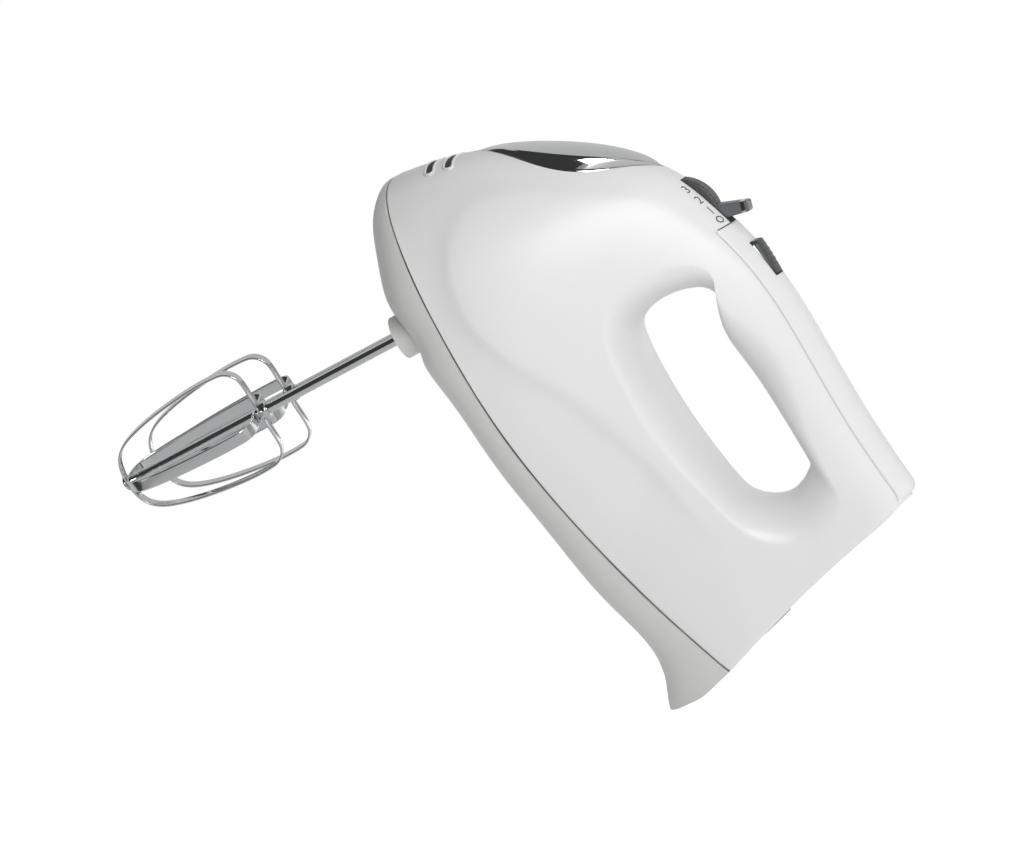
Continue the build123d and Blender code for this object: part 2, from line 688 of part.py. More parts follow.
def spindle_bushes():
    """Four sleeves, below and above each worm wheel."""
    outer = SPINDLE_RADIUS + RUNNING_FIT + BUSH_WALL
    sleeves = []
    for low in (LOWER_BUSH_Z, UPPER_BUSH_Z):
        z = (low, low + BUSH_LENGTH)
        bores = rod_mouths(SPINDLE_RADIUS + RUNNING_FIT, z)
        sleeves += [sleeve - bore for sleeve, bore in zip(rod_mouths(outer, z), bores)]
    return Compound(children=sleeves)


def motor_stack():
    """Laminated field core with four coil slots."""
    core = RectangleRounded(STACK_SIDE, STACK_SIDE, STACK_ROUND) - Circle(ROTOR_RADIUS + AIR_GAP)
    slots = GridLocations(2 * COIL_CENTRE[0], 2 * COIL_CENTRE[1], 2, 2) * Rectangle(*COIL_SLOT)
    plane = Plane((STACK_X[0], 0, MOTOR_Z), x_dir=(0, 1, 0), z_dir=(1, 0, 0))
    stack = plane * extrude(core - slots, amount=STACK_X[1] - STACK_X[0])
    return stack - [rod_x(BOLT_RADIUS, STACK_X, side * BOLT_Y) for side in SIDES.values()]


def field_coils():
    """Two windings, one round each pole."""
    thick = [side - COIL_CLEARANCE for side in COIL_SLOT]
    outer_y = COIL_CENTRE[0] + thick[0] / 2
    inner_y = COIL_CENTRE[0] - thick[0] / 2
    coils = []
    for side in SIDES.values():
        middle = MOTOR_Z + side * COIL_CENTRE[1]
        z = (middle - thick[1] / 2, middle + thick[1] / 2)
        ring = block((STACK_X[0] - COIL_END, STACK_X[1] + COIL_END), (-outer_y, outer_y), z)
        ring = fillet(ring.edges().filter_by(Axis.Z), COIL_END - COIL_CLEARANCE)
        pole = block((STACK_X[0] - COIL_CLEARANCE, STACK_X[1] + COIL_CLEARANCE), (-inner_y, inner_y), z)
        coils.append(ring - pole)
    return Compound(children=coils)


def slotted_drum(radius, x, count, width, depth):
    """Drum on the motor shaft with lengthwise slots."""
    drum = Circle(radius) - Circle(SHAFT_RADIUS)
    drum = drum - PolarLocations(radius - depth / 2, count) * Rectangle(depth, width)
    plane = Plane((x[0], 0, MOTOR_Z), x_dir=(0, 1, 0), z_dir=(1, 0, 0))
    return plane * extrude(drum, amount=x[1] - x[0])


def armature_core():
    """Slotted rotor core."""
    return slotted_drum(ROTOR_RADIUS, STACK_X, COMMUTATOR_BARS, *ARMATURE_SLOT)


def armature_windings():
    """Winding heads at both ends of the core."""
    ends = ((STACK_X[0] - WINDING_LENGTH, STACK_X[0]), (STACK_X[1], STACK_X[1] + WINDING_LENGTH))
    bore = rod_x(SHAFT_RADIUS, (-FAR, 2 * FAR))
    return Compound(children=[rod_x(WINDING_RADIUS, x) - bore for x in ends])


def commutator():
    """Copper bars that the brushes run on."""
    return slotted_drum(COMMUTATOR_RADIUS, COMMUTATOR_X, COMMUTATOR_BARS, *COMMUTATOR_SLOT)


def carbon_brushes():
    """One brush on each side of the commutator."""
    middle = sum(COMMUTATOR_X) / 2
    half = BRUSH_SIDE / 2
    start = COMMUTATOR_RADIUS + BRUSH_GAP
    brushes = []
    for side in SIDES.values():
        y = sorted((side * start, side * (start + BRUSH_LENGTH)))
        brushes.append(block((middle - half, middle + half), y, (MOTOR_Z - half, MOTOR_Z + half)))
    return Compound(children=brushes)


def brush_holders():
    """Square guides on arms from the rear bracket."""
    middle = sum(COMMUTATOR_X) / 2
    hole = BRUSH_SIDE / 2 + BRUSH_GAP
    half = hole + HOLDER_WALL
    start = COMMUTATOR_RADIUS + 2 * HOLDER_WALL
    end = start + BRUSH_LENGTH
    holders = []
    for side in SIDES.values():
        y = sorted((side * start, side * end))
        z = (MOTOR_Z - half, MOTOR_Z + half)
        guide = block((middle - half, REAR_BRACKET_X[0]), y, z)
        bore = block((middle - hole, middle + hole), y, (MOTOR_Z - hole, MOTOR_Z + hole))
        holders.append(guide - bore)
    return Compound(children=holders)


def motor_shaft():
    """Steel shaft through the armature to the worm."""
    return rod_x(SHAFT_RADIUS, SHAFT_X)


def worm():
    """Single-start worm on the shaft."""
    root = WORM_RADIUS - DEDENDUM * MODULE
    tip = WORM_RADIUS + MODULE
    turns = int(WORM_HALF / PITCH)
    plane = Plane((-turns * PITCH, 0, MOTOR_Z), x_dir=(0, 1, 0), z_dir=(1, 0, 0))
    path = Helix(pitch=PITCH, height=2 * turns * PITCH, radius=WORM_RADIUS)
    wide = THREAD_SHARE * PITCH * THREAD_FOOT
    narrow = THREAD_SHARE * PITCH * THREAD_CREST
    foot = root - MODULE / 2
    profile = Polygon((foot, -wide), (tip, -narrow), (tip, narrow), (foot, wide), align=None)
    thread = sweep(Plane.XZ * profile, path=path, is_frenet=True)
    core = rod_x(root, (-WORM_HALF - PITCH / 2, WORM_HALF + PITCH / 2)) - rod_x(SHAFT_RADIUS, (-FAR, FAR))
    return core + plane * thread


def cooling_fan():
    """Hub with pitched blades."""
    middle = sum(FAN_X) / 2
    width = FAN_X[1] - FAN_X[0]
    fan = rod_x(FAN_HUB, FAN_X)
    length = FAN_RADIUS - SHAFT_RADIUS - FAN_ROOT
    for index in range(FAN_BLADES):
        blade = Rot(0, 0, FAN_PITCH) * Box(width, FAN_BLADE_THICK, length)
        blade = Pos(0, 0, FAN_RADIUS - length / 2) * blade
        fan = fan + Pos(middle, 0, MOTOR_Z) * Rot(360 * index / FAN_BLADES, 0, 0) * blade
    return fan - rod_x(SHAFT_RADIUS, (-FAR, FAR))


def rear_bracket():
    """Bar behind the motor that carries the rear bearing."""
    half = REAR_BRACKET_HEIGHT / 2
    bar = block(REAR_BRACKET_X, (-STACK_SIDE / 2, STACK_SIDE / 2), (MOTOR_Z - half, MOTOR_Z + half))
    bar = bar - rod_x(BEARING_RADIUS, REAR_BRACKET_X)
    return bar - [rod_x(BOLT_RADIUS, REAR_BRACKET_X, side * BOLT_Y) for side in SIDES.values()]


def motor_bolts():
    """Two long bolts from the rear bracket through the stack into the gear frame."""
    x = (FRAME_X[1], REAR_BRACKET_X[1])
    head = (x[1], x[1] + SCREW_HEAD_HEIGHT)
    bolts = []
    for side in SIDES.values():
        y = side * BOLT_Y
        bolts.append(rod_x(BOLT_RADIUS, x, y) + rod_x(SCREW_HEAD_RADIUS, head, y))
    return Compound(children=bolts)


def worm_wheel(side):
    """Toothed wheel; the right one is half a tooth out of step so that both mesh with the worm."""
    root = WHEEL_RADIUS - DEDENDUM * MODULE
    tip = WHEEL_RADIUS + MODULE
    half = TOOTH_SHARE * PITCH / WHEEL_RADIUS / 2
    shift = math.pi / WHEEL_TEETH if side > 0 else 0.0
    points = []
    for tooth in range(WHEEL_TEETH):
        middle = 2 * math.pi * tooth / WHEEL_TEETH + shift
        corners = ((root, -TOOTH_FOOT), (tip, -TOOTH_CREST), (tip, TOOTH_CREST), (root, TOOTH_FOOT))
        for radius, turn in corners:
            angle = middle + turn * half
            points.append((radius * math.cos(angle), radius * math.sin(angle)))
    outline = make_face(Polyline(*points, close=True)) - Circle(SPINDLE_RADIUS)
    wheel = extrude(outline, amount=WHEEL_FACE / 2, both=True)
    return Pos(0, side * BEATER_SPACING / 2, MOTOR_Z) * wheel


def spindle(side):
    """Hollow spindle with a keyway for the beater."""
    y = side * BEATER_SPACING / 2
    reach = KEY_REACH + KEY_CLEARANCE
    width = KEY_WIDTH / 2 + KEY_CLEARANCE
    tube = rod_z(SPINDLE_RADIUS, 0, y, SPINDLE_Z) - rod_z(ROD_RADIUS + RUNNING_FIT, 0, y, SPINDLE_Z)
    return tube - block((-reach, reach), (y - width, y + width), (SPINDLE_Z[0], KEY_Z[1] + KEY_CLEARANCE))


def retaining_ring(side):
    """Ring on top of the upper bush that keeps the spindle up."""
    y = side * BEATER_SPACING / 2
    z = (UPPER_BUSH_Z + BUSH_LENGTH + KEY_CLEARANCE, SPINDLE_Z[1])
    return rod_z(RING_RADIUS, 0, y, z) - rod_z(SPINDLE_RADIUS, 0, y, z)


def beater_rod(side):
    """Beater shaft with its two drive keys."""
    y = side * BEATER_SPACING / 2
    half = KEY_WIDTH / 2
    keys = block((-KEY_REACH, KEY_REACH), (y - half, y + half), KEY_Z)
    return rod_z(ROD_RADIUS, 0, y, (HEAD_BOTTOM, ROD_TOP)) + keys


def loop_face(inset):
    """Face inside one loop, moved in by the inset: flat top, round shoulders, bellied foot."""
    radius = LOOP_RADIUS - inset
    top = HEAD_TOP - inset
    bottom = HEAD_BOTTOM + inset
    corner = LOOP_CORNER - inset
    span = top - corner - bottom
    edges = [Edge.make_line((corner - radius, 0, top), (radius - corner, 0, top))]
    bend = corner * math.sqrt(0.5)
    for side in SIDES.values():
        centre = Vector(side * (radius - corner), 0, top - corner)
        start = centre + Vector(0, 0, corner)
        middle = centre + Vector(side * bend, 0, bend)
        end = centre + Vector(side * corner, 0, 0)
        edges.append(Edge.make_three_point_arc(start, middle, end))
        belly = [Vector(side * (radius - far_in), 0, end.Z - share * span) for far_in, share in LOOP_BELLY]
        belly = [end, *belly, Vector(0, 0, bottom)]
        edges.append(Edge.make_spline(belly, tangents=[Vector(0, 0, -1), Vector(-side, 0, 0)]))
    return Face(Wire(edges))


def beater_loop(side, inset, turn):
    """Flat strip bent to a closed loop, drilled for the shaft."""
    ring = loop_face(inset) - loop_face(inset + STRIP_THICK)
    strip = extrude(ring, amount=STRIP_WIDTH / 2, dir=(0, 1, 0), both=True)
    strip = strip - rod_z(ROD_RADIUS, 0, 0, (HEAD_BOTTOM - FAR, ROD_TOP))
    return Pos(0, side * BEATER_SPACING / 2, 0) * Rot(0, 0, BEATER_PHASE + turn) * strip


def beater_collar(side):
    """Ring pressed on the shaft above the loops."""
    y = side * BEATER_SPACING / 2
    z = (HEAD_TOP, HEAD_TOP + COLLAR_HEIGHT)
    return rod_z(COLLAR_RADIUS, 0, y, z) - rod_z(ROD_RADIUS, 0, y, z)


def beater_rivet(side):
    """Rivet head under the loops."""
    y = side * BEATER_SPACING / 2
    return rod_z(RIVET_RADIUS, 0, y, (HEAD_BOTTOM - RIVET_HEIGHT, HEAD_BOTTOM))


def all_nodes():
    """Every piece by name, in the bench frame."""
    nodes = {}
    nodes["upper_housing"], nodes["handle_cover"] = upper_casing()
    single = [
        lower_cover, housing_screws, cord_gland, cord_clamp, release_button, release_stem, release_plate,
        release_spring, speed_dial, speed_lever, dial_axle, speed_switch, boost_button, boost_switch,
        gear_frame, shaft_bearings, spindle_bushes, motor_stack, field_coils, armature_core,
        armature_windings, commutator, carbon_brushes, brush_holders, motor_shaft, worm, cooling_fan,
        rear_bracket, motor_bolts,
    ]
    for make in single:
        nodes[make.__name__] = make()
    for name, side in SIDES.items():
        nodes[f"{name}_worm_wheel"] = worm_wheel(side)
        nodes[f"{name}_spindle"] = spindle(side)
        nodes[f"{name}_retaining_ring"] = retaining_ring(side)
        nodes[f"{name}_beater_rod"] = beater_rod(side)
        nodes[f"{name}_outer_loop"] = beater_loop(side, 0.0, 0.0)
        nodes[f"{name}_inner_loop"] = beater_loop(side, STRIP_THICK + STRIP_GAP, 90.0)
        nodes[f"{name}_beater_collar"] = beater_collar(side)
        nodes[f"{name}_beater_rivet"] = beater_rivet(side)
    return nodes


HEEL_MIDDLE_Z = sum(PAD_HEEL_Z) / 2
STANDING = Plane(
    Vector(stand_x(HEEL_MIDDLE_Z), 0, HEEL_MIDDLE_Z),
    x_dir=Vector(-math.sin(TILT), 0, math.cos(TILT)),
    z_dir=OUTWARD * -1,
)


def main():
    """Write every piece, standing on its tail."""
    os.makedirs("parts", exist_ok=True)
    for name, piece in all_nodes().items():
        solids = [STANDING.to_local_coords(solid) for solid in piece.solids()]
        export_step(solids[0] if len(solids) == 1 else Compound(solids), f"parts/{name}.step")


if __name__ == "__main__":
    main()
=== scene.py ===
"""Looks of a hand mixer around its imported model, laid out as an add-on and run as a script."""

import json
import math

import bmesh
import bpy
import numpy as np
from mathutils import Matrix, Vector


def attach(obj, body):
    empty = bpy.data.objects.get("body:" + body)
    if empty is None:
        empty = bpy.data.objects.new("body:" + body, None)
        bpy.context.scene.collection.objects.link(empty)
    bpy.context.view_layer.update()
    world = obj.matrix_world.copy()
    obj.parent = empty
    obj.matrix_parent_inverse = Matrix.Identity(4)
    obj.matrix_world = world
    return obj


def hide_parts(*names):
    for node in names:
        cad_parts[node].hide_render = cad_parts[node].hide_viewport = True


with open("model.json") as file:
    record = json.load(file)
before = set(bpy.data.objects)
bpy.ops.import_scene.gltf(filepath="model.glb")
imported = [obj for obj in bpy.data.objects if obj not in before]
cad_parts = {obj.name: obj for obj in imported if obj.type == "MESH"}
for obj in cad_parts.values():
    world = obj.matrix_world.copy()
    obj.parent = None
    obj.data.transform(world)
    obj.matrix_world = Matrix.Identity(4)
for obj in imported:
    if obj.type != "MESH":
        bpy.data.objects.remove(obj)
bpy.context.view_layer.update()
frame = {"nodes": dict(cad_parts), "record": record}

bl_info = {
    "name": "Hand Mixer Dresser",
    "version": (1, 0, 0),
    "blender": (4, 5, 0),
    "location": "View3D > Sidebar > Mixer",
    "description": "Builds the looks of a hand mixer on its packed model",
    "category": "Object",
}

MM = 0.001
WELD = 1e-7
IMAGE_WIDTH = 1024
SENSOR_WIDTH = 36.0

# Lengths below are millimetres on the bench, where x runs from nose to tail, y to the mixer's right and z up.
STAND_TILT = math.radians(16.4)
HEEL_MIDDLE = (173.0415, 48.5)
TAIL_POINT, TAIL_BOW, BOW_MIDDLE, BOW_HALF = (172.6, 50.0), 1.56, 93.5, 37.5
CORNER, CORNER_FADE = 4.5, 14.0
MAP_LENGTH = 1.5
CREASE_DEPTH, CREASE_SLOPE, CREASE_SOFT, CREASE_FADE = 1.9, 0.34, 0.7, 25.0
COVER_FRONT, COVER_DEPTH, COVER_SUNK, COVER_STEP, COVER_ROLL = 20.9, 6.0, 0.25, 0.6, 0.8
VENT_HEIGHTS, VENT_HALF, VENT_END = (48.6, 41.0), 17.0, 1.6
RIM_OFFSET, RIM_RADIUS, RIM_SIDES = 1.75, 0.5, 14
SEAM_INSET, SEAM_NOSE, SEAM_COUNT = 2.6, 2.4, 220
SEAM_EDGE, SEAM_TURN, TAIL_EDGE, TAIL_TURN = 1.0, 0.3, 1.8, 0.9
LENS_LOW, LENS_HIGH = np.array([-49.6, 58.6]), np.array([-10.6, 119.6])
LENS_HALF, LENS_TIP_DEPTH = 18.0, 0.7
DIAL_CENTRE, DIAL_RADIUS, DIAL_HALF = (11.0, 115.7), 16.0, 4.5
DIAL_RIBS, RIB_DEPTH, HUB_RADIUS, DIAL_COUNT = 90, 0.28, 3.0, 1080
LEVER_LEAN, LEVER_HALF, LEVER_TIP, LEVER_SIDES = math.radians(15.5), 4.0, 27.3, 64
SLOT_HALF = 4.9
BOOST_MIDDLE, BOOST_LENGTH, BOOST_HALF = 38.65, 15.5, 6.0
BOOST_SUNK, BOOST_FRONT, BOOST_FALL = 0.25, 2.9, 2.2
RIDGE_RUN, RIDGE_COUNT, RIDGE_HEIGHT = (0.2, 0.75), 7, 0.14
# Patch of painted shade round the boost button: its x and y spans, and its height over the crest.
BOOST_GAP, GAP_PROUD = ((30.7, 46.6), (-6.15, 6.15)), 0.44
MARK_X = {"off": 17.6, "one": 12.9, "2": 7.6, "3": 1.8}
MARK_Y, MARK_PROUD, SIGN_SIZE = -7.7, 0.1, 5.0
BEATER_PHASE, BEATER_OFFSET = 14.0, 21.0
HEAD_TOP, HEAD_BOTTOM = -62.0, -124.0
LOOP_RADIUS, LOOP_CORNER = 21.6, 8.0
STRIP_THICK, STRIP_HALF, STRIP_SIDES = 0.45, 2.4, 28
COLLAR = ((2.1, 0.0), (3.3, 0.0), (3.6, 0.3), (3.6, 2.5), (3.3, 2.9), (2.6, 3.0), (2.1, 3.0))
RIVET = ((0.01, -1.4), (1.2, -1.35), (2.2, -1.1), (2.9, -0.6), (3.2, 0.0), (0.01, 0.0))

# The stage, in metres and watts: each lamp's name, place, size, power and whether metal mirrors it.
STAGE_AIM = (0.0, 0.0, 0.12)
LAMPS = (
    ("key_lamp", (0.82, -1.15, 0.2), (0.8, 0.4), 9.2, True),
    ("top_lamp", (0.9, 0.2, 0.7), (0.9, 0.9), 2.2, False),
    ("back_lamp", (0.1, 1.4, 0.5), (0.9, 0.6), 9.0, False),
    ("under_lamp", (-1.3, 0.2, 0.35), (0.9, 0.5), 4.5, False),
)
TENT_RADIUS, TENT_COUNTS = 5.0, (121, 61)
TENT_STRIPS = ((-62, 9), (75, 14))
FLOOR_REACH, FLOOR_DROP = 8.0, 0.0002
FLOOR_SEEN, FLOOR_MIRRORED, FLOOR_BOUNCED = 0.85, 0.2, 0.35
AMBIENT = 0.2


class MixerSizes(bpy.types.PropertyGroup):
    """Camera settings that a user would change."""

    camera_azimuth: bpy.props.FloatProperty(
        name="Camera azimuth", description="Turn of the camera about the upright axis",
        default=math.radians(16.1), subtype="ANGLE")
    camera_elevation: bpy.props.FloatProperty(
        name="Camera elevation", description="Height angle of the camera", default=math.radians(-2.04),
        subtype="ANGLE")
    camera_roll: bpy.props.FloatProperty(
        name="Camera roll", description="Roll of the camera about its own axis", default=math.radians(-44.16),
        subtype="ANGLE")
    camera_distance: bpy.props.FloatProperty(
        name="Camera distance", description="From the aim point to the lens", default=2.345, subtype="DISTANCE")
    camera_scale: bpy.props.FloatProperty(
        name="Image scale", description="Pixels to a metre at the aim point", default=2592.9, subtype="PIXEL")
    camera_aim: bpy.props.FloatVectorProperty(
        name="Aim point", description="Point in the middle of the picture", default=(0.00534, 0.0, 0.12655),
        subtype="XYZ")


class MixerColours(bpy.types.PropertyGroup):
    """Colours that a user would change."""

    housing: bpy.props.FloatVectorProperty(
        name="Housing", description="Pearl white of the upper housing", default=(0.80, 0.805, 0.80),
        subtype="COLOR")
    cover: bpy.props.FloatVectorProperty(
        name="Cover", description="Warm grey of the lower cover", default=(0.66, 0.66, 0.65), subtype="COLOR")
    control: bpy.props.FloatVectorProperty(
        name="Controls", description="Dark grey of dial and boost button", default=(0.055, 0.056, 0.06),
        subtype="COLOR")
    chrome: bpy.props.FloatVectorProperty(
        name="Chrome", description="Plated metal", default=(0.80, 0.81, 0.82), subtype="COLOR")


def fill(node, **values):
    """Constant values on a node's inputs, by socket name with underscores for spaces; colours without alpha."""
    for key, value in values.items():
        socket = node.inputs[key.replace("_", " ")]
        socket.default_value = (*value, 1.0) if socket.type == "RGBA" else value


class Finish:
    """Node material under construction, with short calls for the usual nodes."""

    def __init__(self, name):
        self.material = bpy.data.materials.new(name)
        self.material.use_nodes = True
        self.tree = self.material.node_tree
        self.shader = self.tree.nodes["Principled BSDF"]
        self.coords = self.add("ShaderNodeTexCoord")

    def add(self, kind, **settings):
        """New node with plain attributes set."""
        node = self.tree.nodes.new(kind)
        for key, value in settings.items():
            setattr(node, key, value)
        return node

    def link(self, source, target):
        """Join an output to an input."""
        self.tree.links.new(source, target)

    def math(self, operation, first, second):
        """Math node; either side may be a socket or a number."""
        node = self.add("ShaderNodeMath", operation=operation)
        for socket, value in zip(node.inputs, (first, second)):
            if isinstance(value, (int, float)):
                socket.default_value = value
            else:
                self.link(value, socket)
        return node.outputs[0]

    def noise(self, scale, detail=3.0, roughness=0.5, stretch=(1.0, 1.0, 1.0)):
        """Noise on Object coordinates, scale in waves to a metre."""
        mapping = self.add("ShaderNodeMapping")
        fill(mapping, Scale=stretch)
        self.link(self.coords.outputs["Object"], mapping.inputs["Vector"])
        noise = self.add("ShaderNodeTexNoise")
        fill(noise, Scale=scale, Detail=detail, Roughness=roughness)
        self.link(mapping.outputs[0], noise.inputs["Vector"])
        return noise.outputs["Fac"]

    def spread(self, value, low, high):
        """Map a 0..1 value onto a range."""
        node = self.add("ShaderNodeMapRange")
        fill(node, To_Min=low, To_Max=high)
        self.link(value, node.inputs["Value"])
        return node.outputs[0]

    def tint(self, value, dark, light):
        """Colour between two ends by a 0..1 value."""
        node = self.add("ShaderNodeMix", data_type="RGBA")
        fill(node, A=dark, B=light)
        self.link(value, node.inputs["Factor"])
        return node.outputs["Result"]

    def bump(self, height, strength, distance):
        """Bump from a height, into the shader's normal."""
        node = self.add("ShaderNodeBump")
        fill(node, Strength=strength, Distance=distance)
        self.link(height, node.inputs["Height"])
        self.link(node.outputs[0], self.shader.inputs["Normal"])


def scaled(colour, factor):
    """Colour times a factor."""
    return tuple(min(1.0, channel * factor) for channel in colour)


def moulded(name, colour, rough, grain, coat=0.0, deep=0.00002):
    """Moulded plastic: slight flow shading in the colour, roughness that wanders and a fine grain."""
    finish = Finish(name)
    flow = finish.noise(14.0, 2.0)
    shaded = finish.tint(flow, scaled(colour, 0.97), scaled(colour, 1.02))
    finish.link(shaded, finish.shader.inputs["Base Color"])
    wander = finish.spread(finish.noise(60.0, 3.0), rough * 0.9, rough * 1.12)
    finish.link(wander, finish.shader.inputs["Roughness"])
    finish.bump(finish.noise(grain, 2.0), 0.25, deep)
    fill(finish.shader, Coat_Weight=coat, Coat_Roughness=0.22, Specular_IOR_Level=0.5)
    return finish.material


def metal(name, colour, rough, scratch=900.0, stretch=(1.0, 1.0, 1.0), deep=0.000004):
    """Metal: faint tarnish in the colour, roughness that wanders and fine scratches along one way."""
    finish = Finish(name)
    haze = finish.noise(35.0, 4.0)
    finish.link(finish.tint(haze, scaled(colour, 0.93), colour), finish.shader.inputs["Base Color"])
    lines = finish.noise(scratch, 2.0, 0.6, stretch)
    finish.link(finish.spread(lines, rough * 0.7, rough * 1.4), finish.shader.inputs["Roughness"])
    finish.bump(lines, 0.15, deep)
    fill(finish.shader, Metallic=1.0)
    return finish.material


def dress(node, material):
    """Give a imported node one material."""
    mesh = frame["nodes"][node].data
    mesh.materials.clear()
    mesh.materials.append(material)


def mesh_object(name, points, faces, material):
    """Mesh object at the origin from point and face arrays."""
    mesh = bpy.data.meshes.new(name)
    mesh.from_pydata(np.asarray(points).tolist(), [], np.asarray(faces).tolist())
    mesh.materials.append(material)
    made = bpy.data.objects.new(name, mesh)
    bpy.context.scene.collection.objects.link(made)
    return made


def new_piece(name, points, faces, material, body, slot, replaced=()):
    """Smooth mesh object, welded, with its faces turned outwards, riding on a body."""
    if not len(faces):
        raise ValueError(f"{name} has no faces")
    piece = mesh_object(name, points, faces, material)
    mesh = piece.data
    mesh.polygons.foreach_set("use_smooth", np.ones(len(mesh.polygons), dtype=bool))
    tidy = bmesh.new()
    tidy.from_mesh(mesh)
    bmesh.ops.remove_doubles(tidy, verts=tidy.verts, dist=WELD)
    bmesh.ops.recalc_face_normals(tidy, faces=tidy.faces)
    tidy.to_mesh(mesh)
    tidy.free()
    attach(piece, body)
    if replaced:
        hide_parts(*replaced)


# Casing stations along the body, each (x, bottom, seam, top, half width, waist, ridge).
STATIONS = np.array([
    (-55.2, 22.0, 23.6, 27.0, 2.6, 2.2, 2.0), (-54.0, 18.6, 23.4, 35.2, 9.0, 7.5, 7.0),
    (-51.6, 16.2, 22.8, 47.0, 16.5, 13.5, 12.5), (-47.4, 13.0, 22.2, 61.6, 23.5, 19.0, 17.0),
    (-39.6, 9.2, 21.8, 78.0, 30.5, 24.0, 20.0), (-25.6, 4.8, 21.6, 101.4, 37.5, 26.0, 22.0),
    (-9.0, 2.4, 21.4, 119.9, 41.2, 25.0, 22.0), (12.4, 4.0, 21.6, 130.8, 42.4, 20.0, 22.5),
    (40.0, 7.6, 22.6, 139.0, 41.2, 13.0, 23.5), (76.0, 11.6, 27.0, 142.3, 37.0, 10.0, 24.0),
    (110.0, 16.8, 34.0, 143.6, 31.5, 9.5, 24.0), (141.0, 24.4, 42.6, 147.0, 26.3, 10.0, 23.0),
    (156.0, 26.4, 47.6, 149.0, 23.8, 10.0, 22.0), (168.0, 23.2, 51.8, 150.6, 21.8, 10.0, 21.0),
    (182.0, 21.0, 57.2, 152.6, 19.5, 10.0, 20.0),
])
# Handle opening round its middle outline, each (x, z, width of the rolled edge).
OPENING = np.array([
    (34.2, 97.0, 11.0), (37.2, 84.0, 10.0), (49.0, 78.6, 9.0), (78.0, 80.6, 9.0), (104.0, 84.6, 11.0),
    (116.5, 91.0, 18.0), (122.0, 103.5, 22.0), (117.6, 113.8, 20.0), (108.0, 115.9, 16.0), (78.0, 113.2, 15.0),
    (58.0, 111.3, 14.0), (47.0, 115.2, 13.0), (38.0, 111.5, 12.0),
])
# Sweep of the heel under the tail, each (x, z), used below the height where the standing plane starts.
HEEL = np.array([(166.0, 12.0), (171.6, 16.0), (175.2, 23.0), (176.3, 31.0), (175.25, 41.0), (170.83, 56.0)])
HEEL_STOP = 41.0
# Soft crease that bounds the swelling of the side, each (angle in degrees, radius) about its centre.
CREASE_CENTRE = (45.0, 100.0)
CREASE = np.array([
    (140.0, 60.0), (163.0, 53.0), (187.0, 61.0), (198.0, 73.5), (207.0, 86.0), (216.0, 91.0), (227.0, 87.0),
    (238.0, 78.5), (255.0, 60.5), (272.0, 48.0), (290.0, 44.6), (315.0, 49.5), (331.0, 62.6), (345.0, 87.8),
])


def spline(knots, values, at):
    """Natural cubic spline through values at knots, at any array of places."""
    knots = np.asarray(knots, float)
    values = np.asarray(values, float).reshape(len(knots), -1)
    gap = np.diff(knots)
    inner = np.arange(1, len(knots) - 1)
    system = np.eye(len(knots))
    system[inner, inner - 1] = gap[:-1]
    system[inner, inner] = 2 * (gap[:-1] + gap[1:])
    system[inner, inner + 1] = gap[1:]
    right = np.zeros_like(values)
    right[1:-1] = 6 * np.diff(np.diff(values, axis=0) / gap[:, None], axis=0)
    bend = np.linalg.solve(system, right)
    at = np.asarray(at, float)
    cell = np.clip(np.searchsorted(knots, at, side="right") - 1, 0, len(knots) - 2)
    step = gap[cell][..., None]
    low = (at - knots[cell])[..., None]
    high = step - low
    curved = (bend[cell] * high**3 + bend[cell + 1] * low**3) / (6 * step)
    start = (values[cell] / step - bend[cell] * step / 6) * high
    return curved + start + (values[cell + 1] / step - bend[cell + 1] * step / 6) * low


def station_knots():
    """Share of the way along the body at each station, by the length of the chords between them."""
    steps = np.diff(STATIONS[:, [0, 3, 4]], axis=0)
    way = np.cumsum(np.sqrt(steps[:, 0] ** 2 + 0.5 * steps[:, 1] ** 2 + steps[:, 2] ** 2))
    return np.concatenate([[0.0], way / way[-1]])


KNOTS = station_knots()
ALONG = np.linspace(0.0, 1.0, 4001)
ALONG_X = spline(KNOTS, STATIONS[:, 0], ALONG)[:, 0]


def section(along, grow=0.0):
    """Station values at any place along the body, moved outwards by the growth."""
    values = np.moveaxis(spline(KNOTS, STATIONS, along), -1, 0)
    x, bottom, seam, top, half, waist, ridge = values
    return x, bottom - grow, seam, top + grow, half + grow, waist + grow, ridge + grow


def upper_side(along, share, grow=0.0):
    """Upper surface: a fourth-degree Bezier from the seam (share 0) over the waist to the crest (share 1)."""
    x, _, seam, top, half, waist, ridge = section(along, grow)
    rise = top - seam
    back = 1.0 - share
    weights = (back**4, 4 * share * back**3, 6 * share**2 * back**2, 4 * share**3 * back, share**4)
    out = (half, half, waist, ridge, 0.0)
    high = (seam, seam + 0.33 * rise, seam + 0.68 * rise, top, top)
    y = sum(weight * value for weight, value in zip(weights, out))
    z = sum(weight * value for weight, value in zip(weights, high))
    return x, y, z


def tail_x(z):
    """Profile of the tail: the standing plane, bowed in between its pads and swept under at the heel."""
    plane = TAIL_POINT[0] - math.tan(STAND_TILT) * (z - TAIL_POINT[1])
    bow = TAIL_BOW * np.clip(1.0 - ((z - BOW_MIDDLE) / BOW_HALF) ** 2, 0.0, 1.0)
    heel = spline(HEEL[:, 1], HEEL[:, 0], z)[..., 0]
    return np.where(z < HEEL_STOP, heel, plane - bow)


def bisect(rising, low, high, count=44):
    """Root of a rising function for whole arrays, by halving."""
    low, high = np.broadcast_arrays(np.asarray(low, float), np.asarray(high, float))
    for _ in range(count):
        middle = (low + high) / 2
        over = rising(middle) > 0
        low, high = np.where(over, low, middle), np.where(over, middle, high)
    return (low + high) / 2


def tail_along():
    """Where the tail cuts the upper surface, as a table over the share of the section."""
    share = np.linspace(0.0, 1.0, 241)

    def past(along):
        x, _, z = upper_side(along, share)
        return x - tail_x(z)

    return share, bisect(past, np.full(share.shape, 0.6), np.ones(share.shape))


